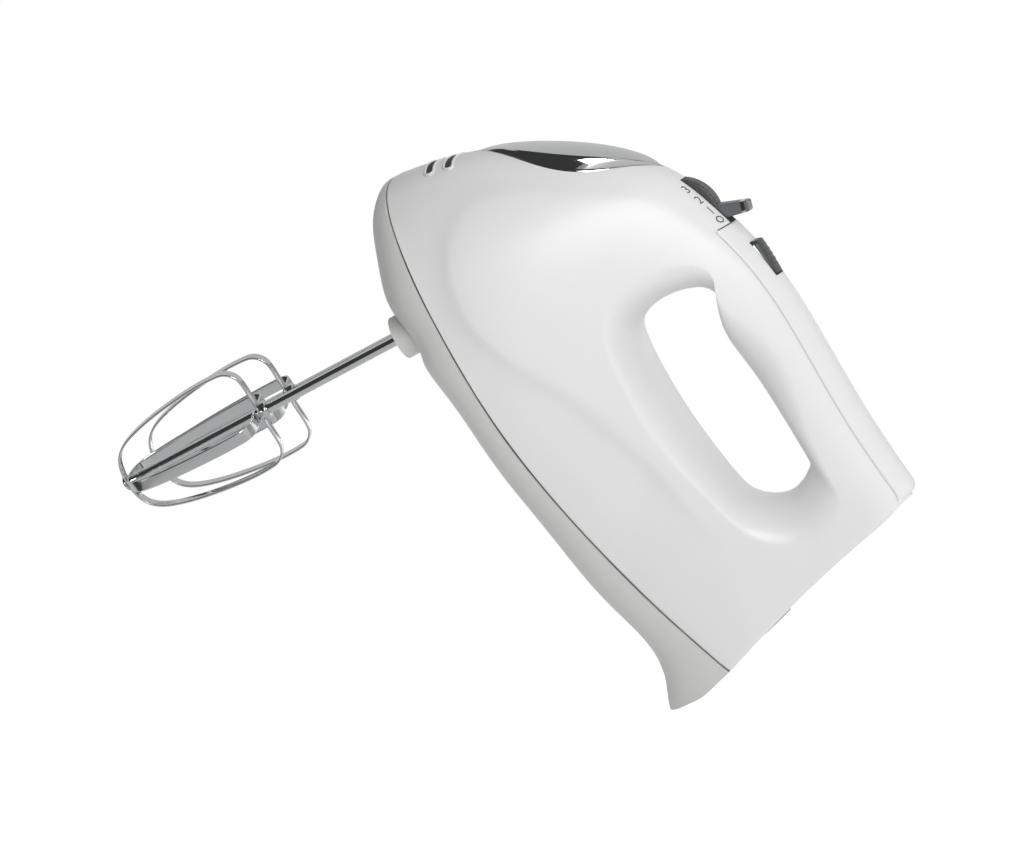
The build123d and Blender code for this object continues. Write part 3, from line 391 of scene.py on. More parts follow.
TAIL_TABLE = tail_along()


def tail_at(share):
    """Place along the body at which the tail cuts the upper surface, at a share of the section."""
    return np.interp(share, *TAIL_TABLE)


def to_row(x, y, z):
    """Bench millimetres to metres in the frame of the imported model."""
    x, y, z = np.broadcast_arrays(np.asarray(x, float), np.asarray(y, float), np.asarray(z, float))
    away, high = x - HEEL_MIDDLE[0], z - HEEL_MIDDLE[1]
    lean, rise = math.sin(STAND_TILT), math.cos(STAND_TILT)
    return np.stack([high * rise - away * lean, y, -away * rise - high * lean], -1) * MM


def grid_faces(rows, columns, closed=False):
    """Quads of a grid of points, row by row; closed joins the last column to the first."""
    index = np.arange(rows * columns).reshape(rows, columns)
    if closed:
        index = np.concatenate([index, index[:, :1]], axis=1)
    corners = (index[:-1, :-1], index[:-1, 1:], index[1:, 1:], index[1:, :-1])
    return np.stack(corners, -1).reshape(-1, 4)


def ring_faces(rows, columns):
    """Quads of a tube whose last row also joins its first."""
    index = np.arange(rows * columns).reshape(rows, columns)
    first, last = index[0], index[-1]
    join = np.stack([last, np.roll(last, -1), np.roll(first, -1), first], -1)
    return np.concatenate([grid_faces(rows, columns, closed=True), join])


def squared(value, power=0.22):
    """Sine or cosine pressed towards -1 and 1, which squares off a circle."""
    return np.sign(value) * np.abs(value) ** power


def smooth_step(value, low, high):
    """0 below a low value, 1 above a high one, and an S-curve between."""
    share = np.clip((value - low) / (high - low), 0, 1)
    return share**2 * (3 - 2 * share)


def crease_sink(x, z):
    """How far the side lies back outside the crease: a slope that starts at the line and levels off."""
    run, rise = x - CREASE_CENTRE[0], z - CREASE_CENTRE[1]
    angle = np.degrees(np.arctan2(rise, run)) % 360.0
    edge = spline(CREASE[:, 0], CREASE[:, 1], np.clip(angle, CREASE[0, 0], CREASE[-1, 0]))[..., 0]
    past = (np.hypot(run, rise) - edge) * 0.8
    past = np.log1p(np.exp(np.clip(past / CREASE_SOFT, -40, 40))) * CREASE_SOFT
    first, last = (angle - CREASE[0, 0]) / CREASE_FADE, (CREASE[-1, 0] - angle) / CREASE_FADE
    ends = np.clip(first, 0, 1) * np.clip(last, 0, 1)
    return CREASE_DEPTH * np.tanh(CREASE_SLOPE * past / CREASE_DEPTH) * ends


def opening_outline():
    """Closed spline through the opening's points, as dense rows of (x, z, roll width)."""
    count = len(OPENING)
    wrapped = np.concatenate([OPENING] * 3)
    return spline(np.arange(len(wrapped)), wrapped, np.linspace(count, 2 * count, 1041))[:-1]


def corner_drop(along, x, z):
    """How far the crest falls towards the tail's upper corner: a quarter circle, fading out down the side."""
    top = section(along)[3]
    into = np.clip((x - tail_x(top) + CORNER) / CORNER, 0, 1)
    fade = np.clip((z - top + CORNER_FADE) / CORNER_FADE, 0, 1) ** 2
    return CORNER * (1 - np.sqrt(1 - 0.98 * into**2)) * fade


def housing_side():
    """One side of the upper shell: rays from the opening's outline out to the seam, tail, crest and nose.

    The rays are straight in (share of the way to the tail, share of the section). Near the opening the side
    rolls in to the middle plane on a quarter ellipse; at the seam and the tail its edge turns in slightly.
    """
    outline = opening_outline()
    along = np.interp(outline[:, 0], ALONG_X, ALONG)
    share = share_at_height(along, outline[:, 1])
    flat = np.stack([along / tail_at(share) * MAP_LENGTH, share], -1)
    centre = flat.mean(axis=0)
    turn = np.unwrap(np.arctan2(*(flat - centre).T[::-1]))
    order = np.argsort(turn)
    corners = np.array([(0, 0), (MAP_LENGTH, 0), (MAP_LENGTH, 1), (0, 1)])
    sides = np.linspace(corners, np.roll(corners, -1, axis=0), 81)[:-1].reshape(-1, 2)
    angles = np.concatenate([turn[::4], np.arctan2(*(sides - centre).T[::-1])])
    angles = np.unique(np.round((angles - turn.min()) % (2 * np.pi), 5)) + turn.min()
    ray = np.stack([np.cos(angles), np.sin(angles)], -1)
    limits = np.where(ray > 0, (np.array([MAP_LENGTH, 1.0]) - centre) / ray, -centre / ray)
    edge = centre + ray * limits.min(axis=1)[:, None]
    wrap = lambda column: np.interp(angles, turn[order], column[order], period=2 * np.pi)
    start = np.stack([wrap(flat[:, 0]), wrap(flat[:, 1])], -1)
    start_x, start_z, roll = (wrap(outline[:, index]) for index in range(3))
    edge_share = np.clip(edge[:, 1], 0, 1)
    edge_x, _, edge_z = upper_side(edge[:, 0] / MAP_LENGTH * tail_at(edge_share), edge_share)
    reach = np.hypot(edge_x - start_x, edge_z - start_z)
    rolled = np.minimum(roll / reach, 0.75)
    inner = (1 - np.cos(np.linspace(0, np.pi / 2, 30)))[:, None] * rolled
    outer = rolled + (1 - rolled) * np.sin(np.linspace(0, np.pi / 2, 84))[1:, None]
    step = np.concatenate([inner, outer])[..., None]
    place = start + (edge - start) * step
    share = np.clip(place[..., 1], 0, 1)
    along = place[..., 0] / MAP_LENGTH * tail_at(share)
    x, y, z = upper_side(along, share)
    far = np.hypot(x - start_x, z - start_z) / roll
    y = y - crease_sink(x, z) * np.clip((y - 14.0) / 10.0, 0, 1)
    seam_gap = np.clip((z - section(along)[2]) / SEAM_EDGE, 0, 1)
    tail_gap = np.clip((tail_x(z) - x) / TAIL_EDGE, 0, 1)
    wide = np.clip(y / 5, 0, 1)
    y = y - SEAM_TURN * (1 - seam_gap) ** 2 * wide - TAIL_TURN * (1 - tail_gap) ** 2 * wide
    y = y * np.sqrt(1 - (1 - np.clip(far, 0, 1)) ** 2)
    z = z - corner_drop(along, x, z)
    y[0] = 0.0
    y[-1] = np.where(edge_share > 1 - 1e-6, 0.0, y[-1])
    return x, y, z, edge


def housing_mesh():
    """Both sides of the upper shell, joined in the middle plane, with the tail and the nose closed across."""
    x, y, z, edge = housing_side()
    rows, columns = x.shape
    left, right = to_row(x, -y, z).reshape(-1, 3), to_row(x, y, z).reshape(-1, 3)
    count = rows * columns
    partner = np.arange(count) + count
    partner[np.abs(y).ravel() < 1e-9] -= count
    faces = grid_faces(rows, columns, closed=True)
    rim = np.arange(count - columns, count)
    rim_next = np.roll(rim, -1)
    across = []
    for wanted in (edge[:, 0] > MAP_LENGTH - 1e-6, edge[:, 0] < 1e-6):
        both = wanted & np.roll(wanted, -1)
        first, second = rim[both], rim_next[both]
        across.append(np.stack([first, second, partner[second], partner[first]], -1))
    tail, nose = across
    points = np.concatenate([left, right])
    tail_faces = np.arange(tail.size).reshape(-1, 4) + len(points)
    points = np.concatenate([points, points[tail.ravel()]])
    return points, np.concatenate([faces, partner[faces][:, ::-1], nose, tail_faces])


def share_at_height(along, height):
    """Share of the section at which the upper surface reaches a height."""
    shape = np.shape(along)
    return bisect(lambda share: upper_side(along, share)[2] - height, np.zeros(shape), np.ones(shape))


def crest_point(x, y, grow=0.0):
    """Point of the upper surface over (x, y) near the crest, found by halving the share of the section."""
    along = np.interp(x, ALONG_X, ALONG)
    shape = np.shape(along)
    past = lambda share: np.abs(y) - upper_side(along, share, grow)[1]
    share = bisect(past, np.full(shape, 0.55), np.ones(shape))
    return x, y, upper_side(along, share, grow)[2]


def nose_x(y, z):
    """Where the nose's front lies at (y, z), found by halving the way along the body."""
    def past(along):
        return upper_side(along, share_at_height(along, z))[1] - np.maximum(np.abs(y), 0.05)

    along = bisect(past, np.full(np.shape(z), 0.02), np.full(np.shape(z), 0.5), 30)
    return upper_side(along, 0.0 * along)[0]


def rounded(edge, radius):
    """Quarter ellipse: 0 at an edge, 1 from the radius inwards."""
    return np.sqrt(1 - (1 - np.clip(edge / radius, 0, 1)) ** 2)


def eased(count):
    """Steps from -1 to 1 that crowd towards both ends."""
    return np.sin(np.linspace(-np.pi / 2, np.pi / 2, count))


def spine_cover():
    """Cover over the handle's crest: the upper surface from one cover line over the crest to the other.

    It stands a little proud of the shell and its edges roll down to it on a quarter ellipse.
    """
    start = np.interp(COVER_FRONT, ALONG_X, ALONG)
    stop = tail_at(0.97) + 0.0035
    way = (start + (stop - start) * (eased(170) + 1) / 2)[:, None]
    across = eased(72)[None, :]
    line = share_at_height(way, section(way)[3] - COVER_DEPTH)
    share = 1 - (1 - line) * np.abs(across)
    flat = upper_side(way, share)
    girth = np.abs(upper_side(way, line)[1]) + 3.0
    edge = np.minimum(np.minimum((1 - np.abs(across)) * girth, flat[0] - COVER_FRONT), 40.0)
    grow = -COVER_SUNK + COVER_STEP * rounded(edge, COVER_ROLL)
    x, y, z = upper_side(way, share, grow)
    z = z - corner_drop(way, x, z)
    points = to_row(x, np.sign(across) * y, z)
    rows, columns = points.shape[:2]
    faces = grid_faces(rows, columns)
    last = np.arange(rows * columns)[-columns:]
    half = columns // 2
    near, far = last[:half], last[::-1][:half]
    cap = np.stack([near[:-1], near[1:], far[1:], far[:-1]], -1)
    return points.reshape(-1, 3), np.concatenate([faces, cap])


def cover_line(side):
    """Fine painted shadow line along one lower edge of the spine cover: a narrow band on the shell."""
    start = np.interp(COVER_FRONT, ALONG_X, ALONG)
    way = np.linspace(start, tail_at(0.9) - 0.003, 200)[:, None]
    line = share_at_height(way, section(way)[3] - COVER_DEPTH - np.array([[0.0, 0.14, 0.28]]))
    x, y, z = upper_side(way, line, 0.06)
    points = to_row(x, side * y, z - corner_drop(way, x, z))
    return points.reshape(-1, 3), grid_faces(*z.shape)


def lens_surface(shrink, proud, lift, sink, flat=1.0):
    """Pointed lens on the sloping front: two arcs in plan, raised over the body with a rolled edge.

    The height over the lens plane is a polynomial fitted to the body's own points there. A share below one makes
    the lens flatter across than the body, and the rise and the depth fall away towards both tips.
    """
    middle, run = (LENS_LOW + LENS_HIGH) / 2, LENS_HIGH - LENS_LOW
    length = np.hypot(*run) / 2
    tangent, normal = run / (2 * length), np.array([-run[1], run[0]]) / (2 * length)
    along, share = np.meshgrid(np.linspace(0.05, 0.62, 150), np.linspace(0.3, 1.0, 120), indexing="ij")
    x, y, z = upper_side(along, share)
    a = (x - middle[0]) * tangent[0] + (z - middle[1]) * tangent[1]
    c = (x - middle[0]) * normal[0] + (z - middle[1]) * normal[1]
    near = (np.abs(a) < length + 3) & (y < 21) & (c > -16)
    powers = [(i, j) for i in range(6) for j in (0, 2, 4)]
    basis = lambda a, b: np.stack([(a / length) ** i * (b / 20.0) ** j for i, j in powers], -1)
    weights = np.linalg.lstsq(basis(a[near], y[near]), c[near], rcond=None)[0]
    length = length - shrink
    half = LENS_HALF - shrink
    radius = (length**2 + half**2) / (2 * half)
    a = (length * eased(180))[:, None]
    width = np.maximum(np.sqrt(np.maximum(radius**2 - a**2, 0)) - (radius - half), 1e-4)
    across = eased(64)[None, :]
    b = across * width
    edge = (1 - np.abs(across)) * width
    c = basis(*np.broadcast_arrays(a, flat * b)) @ weights
    full = np.maximum(1 - (a / length) ** 2, 0) ** 0.7
    deep = LENS_TIP_DEPTH + (sink - LENS_TIP_DEPTH) * full
    c = c - deep + (proud * full + deep) * rounded(edge, lift)
    x = middle[0] + a * tangent[0] + c * normal[0]
    z = middle[1] + a * tangent[1] + c * normal[1]
    return to_row(x, b, z).reshape(-1, 3), grid_faces(*c.shape)


def vent_shade_patch(height):
    """Painted shade of a vent slot across the nose: a dark patch on the body's surface inside an outline with
    round ends, a hair proud.
    """
    y = (VENT_HALF * eased(80))[:, None]
    tall = np.sqrt(np.maximum(VENT_END**2 - np.maximum(np.abs(y) - VENT_HALF + VENT_END, 0) ** 2, 1e-6))
    z = height + tall * eased(12)[None, :]
    return to_row(nose_x(y, z) - 0.12, y, z).reshape(-1, 3), grid_faces(*z.shape)


def vent_rim(height):
    """Lip round a slot: a small round tube carried along the slot's outline on the body."""
    bend = np.radians(np.linspace(-90, 90, 40))
    middle = VENT_HALF - VENT_END
    flat = np.linspace(-1, 1, 72)[1:-1] * middle
    out_y = np.concatenate([np.cos(bend), 0 * flat, -np.cos(bend), 0 * flat])
    out_z = np.concatenate([np.sin(bend), 0 * flat + 1, -np.sin(bend), 0 * flat - 1])
    straight = np.concatenate([0 * bend + middle, -flat, 0 * bend - middle, flat])
    y, z = straight + RIM_OFFSET * out_y, height + RIM_OFFSET * out_z
    ring = np.linspace(0, 2 * np.pi, RIM_SIDES, endpoint=False)[None, :]
    y = y[:, None] + RIM_RADIUS * np.cos(ring) * out_y[:, None]
    z = z[:, None] + RIM_RADIUS * np.cos(ring) * out_z[:, None]
    x = nose_x(y, z) - RIM_RADIUS * np.sin(ring)
    return to_row(x, y, z).reshape(-1, 3), ring_faces(*x.shape)


def seam_shadow():
    """Painted shade: a dark band behind the seam, following it a little way in from tail to nose to tail."""
    way = np.linspace(0.0, tail_at(0.0) - 0.006, SEAM_COUNT)
    x, _, seam, _, half, _, _ = section(way)
    y = np.maximum(half - SEAM_INSET, 0.5)
    x = x + SEAM_NOSE * np.clip((10.0 - x) / 65.0, 0, 1)
    line = lambda values: np.concatenate([values[::-1], values[1:]])
    side = np.concatenate([-np.ones(SEAM_COUNT), np.ones(SEAM_COUNT - 1)])
    rise = np.array([-2.6, -0.25, 2.6])[:, None]
    points = to_row(line(x), line(y) * side, line(seam) + rise)
    return points.reshape(-1, 3), grid_faces(*points.shape[:2])


def turned(profile, side, height, count=48):
    """Profile of (radius, way up) pairs turned about the axis of one beater, from a height on it."""
    profile = np.asarray(profile, float) * MM
    angle = np.linspace(0, 2 * np.pi, count, endpoint=False)
    axis = to_row(0, 0, 1 / MM) - to_row(0, 0, 0)
    place = to_row(0, side * BEATER_OFFSET, height)
    first = np.cross(axis, (0.0, 1.0, 0.0))
    first = first / np.linalg.norm(first)
    second = np.cross(axis, first)
    ring = np.cos(angle)[:, None] * first + np.sin(angle)[:, None] * second
    points = place + profile[:, 1, None, None] * axis + profile[:, 0, None, None] * ring
    return points.reshape(-1, 3), grid_faces(len(profile), count, closed=True)


def dial_drum():
    """Drum with fine ribs: one radius less a shallow wave, over a width with rounded edges."""
    angle = np.linspace(0, 2 * np.pi, DIAL_COUNT, endpoint=False)[None, :]
    width = np.array([-DIAL_HALF, -4.4, -4.1, -3.6, -2.0, 0.0, 2.0, 3.6, 4.1, 4.4, DIAL_HALF])[:, None]
    radius = DIAL_RADIUS - 1.0 * (1 - rounded(DIAL_HALF - np.abs(width), 0.9))
    radius = radius - RIB_DEPTH * (0.5 + 0.5 * np.cos(DIAL_RIBS * angle)) * (np.abs(width) < 4.0)
    circle = lambda radius, y: to_row(
        DIAL_CENTRE[0] + radius * np.sin(angle), y, DIAL_CENTRE[1] + radius * np.cos(angle))
    rim, hub = circle(radius, width), circle(HUB_RADIUS, width[[0, -1]])
    points = np.concatenate([hub[:1], rim, hub[1:]])
    return points.reshape(-1, 3), grid_faces(*points.shape[:2], closed=True)


def lever_tab(low, high, grow, tip_round):
    """Tapered tab on the drum: a rounded rectangle carried out along the lever's line and closed at both ends."""
    lean, across = math.sin(LEVER_LEAN), math.cos(LEVER_LEAN)
    way = np.sin(np.linspace(0.0, np.pi / 2, 40))
    reach = low + (high - low) * way
    taper = np.interp(reach, [DIAL_RADIUS, LEVER_TIP], [3.0, 2.1]) + grow
    wide = LEVER_HALF + grow + 0 * reach
    if tip_round:
        ease = np.sqrt(np.maximum(1 - np.clip((reach - high + 0.7) / 0.7, 0, 1) ** 2, 0.0004))
        taper, wide = taper - 0.6 * (1 - ease), wide - 0.6 * (1 - ease)
    angle = np.linspace(0, 2 * np.pi, LEVER_SIDES, endpoint=False)[None, :]
    thick = taper[:, None] * squared(np.cos(angle))
    y = wide[:, None] * squared(np.sin(angle))
    x = DIAL_CENTRE[0] + reach[:, None] * lean + thick * across
    z = DIAL_CENTRE[1] + reach[:, None] * across - thick * lean
    points = to_row(x, y, z)
    centre = np.repeat(points.mean(axis=1, keepdims=True), LEVER_SIDES, axis=1)
    closed = np.concatenate([centre[:1], points, centre[-1:]])
    return closed.reshape(-1, 3), grid_faces(*closed.shape[:2], closed=True)


def crest_patch(run, across, grow=0.12):
    """Patch of the crest between two x and two y values, a hair over the surface that it lies on."""
    wide = np.mean(across) + np.ptp(across) / 2 * eased(24)
    x, y = np.meshgrid(np.linspace(*run, 70), wide, indexing="ij")
    return to_row(*crest_point(x, y, grow)).reshape(-1, 3), grid_faces(*x.shape)


def boost_wedge(tall, spread):
    """Low wedge on the crest, highest in front, with rounded edges and ridges across."""
    run, across = np.meshgrid(np.linspace(0, 1, 150), eased(48), indexing="ij")
    x = BOOST_MIDDLE + BOOST_LENGTH * spread * (run - 0.5)
    corner = np.sqrt(np.maximum(1 - np.maximum(np.abs(run - 0.5) * 2 - 0.7, 0) ** 2 / 0.09, 0.02))
    y = BOOST_HALF * spread * across * (0.55 + 0.45 * corner)
    ends = np.minimum(run, 1 - run) * BOOST_LENGTH
    edge = np.minimum((1 - np.abs(across)) * BOOST_HALF, ends)
    ridged = (run > RIDGE_RUN[0]) & (run < RIDGE_RUN[1]) & (np.abs(across) < 0.8)
    ridges = RIDGE_HEIGHT * np.cos((run - RIDGE_RUN[0]) * 2 * np.pi * RIDGE_COUNT) * ridged
    z = crest_point(x, y)[2] - BOOST_SUNK + tall * (BOOST_FRONT - BOOST_FALL * run + ridges) * rounded(edge, 1.0)
    return to_row(x, y, z).reshape(-1, 3), grid_faces(*x.shape)


def loop_path(inset):
    """Closed centre line of a strip loop in its own plane: flat top, round shoulders, bellied foot."""
    radius, corner = LOOP_RADIUS - inset, LOOP_CORNER - inset
    top, bottom = HEAD_TOP - inset, HEAD_BOTTOM + inset
    span = top - corner - bottom
    bend = np.radians(np.linspace(90, 0, 6))
    arc = np.stack([radius - corner + corner * np.cos(bend), top - corner + corner * np.sin(bend)], -1)
    belly = np.array([(0.9, 0.4), (4.2, 0.73), (10.0, 0.94)])
    side = np.stack([radius - belly[:, 0], top - corner - belly[:, 1] * span], -1)
    right = np.concatenate([[(0.0, top), ((radius - corner) / 2, top)], arc, side, [(0.0, bottom)]])
    left = right[1:-1][::-1] * np.array([-1.0, 1.0])
    ring = np.concatenate([right, left])
    wrapped = np.concatenate([ring] * 3)
    way = np.concatenate([[0.0], np.cumsum(np.hypot(*np.diff(wrapped, axis=0).T))])
    first, last = way[len(ring)], way[2 * len(ring)]
    return spline(way, wrapped, np.linspace(first, last, 361)[:-1])


def strip_loop(side, inset, turn):
    """Flat strip with rounded edges carried round a loop's centre line, then turned about the beater's axis."""
    path = loop_path(inset + STRIP_THICK)
    ahead = np.roll(path, -1, axis=0) - np.roll(path, 1, axis=0)
    ahead = ahead / np.hypot(*ahead.T)[:, None]
    normal = np.stack([ahead[:, 1], -ahead[:, 0]], -1)
    angle = np.linspace(0, 2 * np.pi, STRIP_SIDES, endpoint=False)
    thick, wide = STRIP_THICK * squared(np.cos(angle), 0.45), STRIP_HALF * squared(np.sin(angle))
    out = path[:, None, 0] + normal[:, None, 0] * thick
    z = path[:, None, 1] + normal[:, None, 1] * thick
    heading = math.radians(BEATER_PHASE + turn)
    x = out * math.cos(heading) - wide * math.sin(heading)
    y = out * math.sin(heading) + wide * math.cos(heading) + side * BEATER_OFFSET
    return to_row(x, y, z).reshape(-1, 3), ring_faces(*x.shape)


def mark_on_crest(flat, x):
    """Flat sign of (right, up) points in millimetres laid on the crest, its top towards the nose."""
    return to_row(*crest_point(x - flat[:, 1], MARK_Y + flat[:, 0], MARK_PROUD))


def sign_mesh(text):
    """Points and triangles of one printed character, made flat and centred."""
    curve = bpy.data.curves.new("sign", "FONT")
    curve.body = text
    curve.size = SIGN_SIZE
    curve.align_x, curve.align_y = "CENTER", "CENTER"
    source = bpy.data.objects.new("sign", curve)
    mesh = bpy.data.meshes.new_from_object(source)
    points = np.zeros(len(mesh.vertices) * 3)
    mesh.vertices.foreach_get("co", points)
    faces = [tuple(face.vertices) for face in mesh.polygons]
    bpy.data.objects.remove(source)
    bpy.data.curves.remove(curve)
    bpy.data.meshes.remove(mesh)
    return points.reshape(-1, 3)[:, :2], faces


class MIXER_OT_casing(bpy.types.Operator):
    """Finish of the housing, the spine cover and the lower cover, with painted shade behind the seam, in the
    vents and along the cover lines.
    """

    bl_idname = "mixer.casing"
    bl_label = "Casing"

    def execute(self, context):
        colours = context.scene.mixer_colours
        pearl = moulded("housing_pearl", colours.housing, 0.42, 2600.0, 0.25)
        satin = moulded("cover_satin", colours.cover, 0.42, 2200.0, 0.2)
        new_piece("housing_shell", *housing_mesh(), pearl, "casing", "housing_white", ["upper_housing"])
        new_piece("spine_cover", *spine_cover(), pearl, "casing", "housing_white", ["handle_cover"])
        # Grey bands painted on the shell as the shadow line along each lower edge of the spine cover.
        line = moulded("cover_shadow_grey", (0.56, 0.57, 0.57), 0.6, 900.0)
        for index, side in enumerate((-1, 1)):
            new_piece(f"cover_line_{index}", *cover_line(side), line, "casing", "housing_white")
        dress("lower_cover", satin)
        # Painted shade: one near-black finish for the band seen through the seam and for the vent patches.
        shadow = moulded("seam_and_vent_shade", (0.05, 0.05, 0.05), 0.8, 900.0)
        new_piece("seam_shadow", *seam_shadow(), shadow, "casing", "inner_plastic")
        for index, height in enumerate(VENT_HEIGHTS):
            # Each vent slot is a dark patch of painted shade on the nose, with a pearl lip round it.
            new_piece(f"vent_shade_patch_{index}", *vent_shade_patch(height), shadow, "casing", "inner_plastic")
            new_piece(f"vent_rim_{index}", *vent_rim(height), pearl, "casing", "housing_white")
        return {"FINISHED"}


class MIXER_OT_marks(bpy.types.Operator):
    """Printed marks beside the speed dial."""

    bl_idname = "mixer.marks"
    bl_label = "Dial marks"

    def execute(self, context):
        ink = moulded("mark_ink", (0.10, 0.105, 0.11), 0.5, 900.0)
        turn = np.linspace(0, 2 * np.pi, 48, endpoint=False)[None, :]
        radius = np.array([1.05, 1.25, 1.5])[:, None]
        ring = np.stack([radius * np.cos(turn), radius * np.sin(turn)], -1).reshape(-1, 2)
        wide, tall = np.meshgrid([-0.2, 0.2], np.linspace(-1.8, 1.8, 9), indexing="ij")
        bar = np.stack([wide.ravel(), tall.ravel()], -1)
        signs = {"off": (ring, grid_faces(3, 48, closed=True)), "one": (bar, grid_faces(2, 9)),
                 "2": sign_mesh("2"), "3": sign_mesh("3")}
        for name, (flat, faces) in signs.items():
            new_piece(f"mark_{name}", mark_on_crest(flat, MARK_X[name]), faces, ink, "casing", "control_grey")
        return {"FINISHED"}


class MIXER_OT_controls(bpy.types.Operator):
    """Finish of the release lens, the dial with its lever and the boost button, with dark patches of painted
    shade in the slot and the gaps.
    """

    bl_idname = "mixer.controls"
    bl_label = "Controls"

    def execute(self, context):
        colours = context.scene.mixer_colours
        chrome = metal("lens_chrome", scaled(colours.chrome, 0.85), 0.07)
        dark = moulded("control_satin", colours.control, 0.42, 3000.0)
        lever = moulded("lever_satin", (0.13, 0.138, 0.145), 0.35, 2600.0)
        # Painted shade: near-black for the patches on the crest where the slot, the gap round the boost button
        # and the cover's front edge lie in shadow.
        shade = moulded("painted_gap_shade", (0.03, 0.03, 0.03), 0.8, 900.0)
        skirt = metal("skirt_grey", (0.32, 0.325, 0.33), 0.3)
        lens = lens_surface(shrink=0.0, proud=2.2, lift=1.3, sink=6.0, flat=0.78)
        new_piece("release_lens", *lens, chrome, "release_cap", "chrome_trim", ["release_button"])
        seat = lens_surface(shrink=-0.35, proud=0.1, lift=0.5, sink=1.0)
        new_piece("lens_seat", *seat, chrome, "casing", "chrome_trim")
        new_piece("dial_drum", *dial_drum(), dark, "speed_control", "control_grey", ["speed_dial"])
        tab = lever_tab(15.0, LEVER_TIP, grow=0.0, tip_round=True)
        new_piece("lever_tab", *tab, lever, "speed_control", "chrome_trim", ["speed_lever"])
        band = lever_tab(24.2, 25.9, grow=0.08, tip_round=False)
        new_piece("lever_band", *band, chrome, "speed_control", "chrome_trim")
        # The dial's slot is not cut: a dark patch on the crest paints the shade of its depth round the drum.
        slot = crest_patch((-2.5, COVER_FRONT), (-SLOT_HALF, SLOT_HALF))
        new_piece("slot_painted_shade", *slot, shade, "casing", "inner_plastic")
        wedge = boost_wedge(tall=1.0, spread=1.0)
        new_piece("boost_wedge", *wedge, dark, "boost_cap", "control_grey", ["boost_button"])
        new_piece("boost_skirt", *boost_wedge(tall=0.62, spread=1.035), skirt, "boost_cap", "control_grey")
        # Dark patch a little wider than the button paints the shade in the gap round it.
        new_piece("boost_gap_shade", *crest_patch(*BOOST_GAP, GAP_PROUD), shade, "casing", "inner_plastic")
        # Dark strips at the spine cover's front edge, either side of the slot, paint the shadow under its step.
        for index, side in enumerate((-1, 1)):
            run = (COVER_FRONT - 0.25, COVER_FRONT + 0.1)
            edge = crest_patch(run, (side * SLOT_HALF, side * 11.5), 0.2)
            new_piece(f"cover_edge_shade_{index}", *edge, shade, "casing", "inner_plastic")
        return {"FINISHED"}


class MIXER_OT_beaters(bpy.types.Operator):
    """Finish of the two beaters."""

    bl_idname = "mixer.beaters"
    bl_label = "Beaters"

    def execute(self, context):
        steel = metal("beater_chrome", scaled(context.scene.mixer_colours.chrome, 0.85), 0.1)
        for side, sign in (("left", -1), ("right", 1)):
            shapes = (
                ("wide_loop", strip_loop(sign, 0.0, 0.0), "outer_loop"),
                ("narrow_loop", strip_loop(sign, 1.25, 90.0), "inner_loop"),
                ("collar_ring", turned(COLLAR, sign, HEAD_TOP), "beater_collar"),
                ("rivet_head", turned(RIVET, sign, HEAD_BOTTOM), "beater_rivet"),
            )
            for name, shape, node in shapes:
                new_piece(f"{side}_{name}", *shape, steel, f"{side}_beater", "beater_steel", [f"{side}_{node}"])
            dress(f"{side}_beater_rod", steel)
        return {"FINISHED"}


class MIXER_OT_inside(bpy.types.Operator):
    """Finishes of the pieces inside the casing."""

    bl_idname = "mixer.inside"
    bl_label = "Inside"

    def execute(self, context):
        finishes = {
            "inner_plastic": moulded("inner_plastic", (0.10, 0.10, 0.105), 0.5, 1800.0),
            "gear_nylon": moulded("gear_nylon", (0.72, 0.69, 0.60), 0.4, 1800.0),
            "zinc_steel": metal("zinc_steel", (0.56, 0.56, 0.58), 0.3),
            "bright_steel": metal("bright_steel", (0.62, 0.62, 0.63), 0.2),
            "die_cast": metal("die_cast", (0.50, 0.51, 0.52), 0.5, 500.0, deep=0.00003),
            "sintered_bronze": metal("sintered_bronze", (0.45, 0.30, 0.14), 0.4, 1500.0),
            "copper": metal("copper_wire", (0.62, 0.26, 0.12), 0.35, 700.0, (0.1, 1.0, 1.0), 0.0001),
            "laminations": metal("laminations", (0.25, 0.25, 0.27), 0.45, 900.0, (1.0, 1.0, 0.05), 0.00005),
            "carbon": moulded("carbon", (0.03, 0.03, 0.03), 0.6, 2500.0),
            "gland_rubber": moulded("gland_rubber", (0.78, 0.785, 0.78), 0.6, 2500.0),
        }
        for subpart in frame["record"]["subparts"]:
            slot = subpart["material_slot"]
            if slot in finishes:
                dress(subpart["node"], finishes[slot])
        return {"FINISHED"}


def area_lamp(name, place, size, power):
    """Soft rectangular lamp aimed at the middle of the stage."""
    data = bpy.data.lights.new(name, "AREA")
    data.shape = "RECTANGLE"
    data.size, data.size_y = size
    data.energy = power
    lamp = bpy.data.objects.new(name, data)
    lamp.location = place
    lamp.rotation_euler = (Vector(STAGE_AIM) - Vector(place)).to_track_quat("-Z", "Y").to_euler()
    bpy.context.scene.collection.objects.link(lamp)
    return lamp


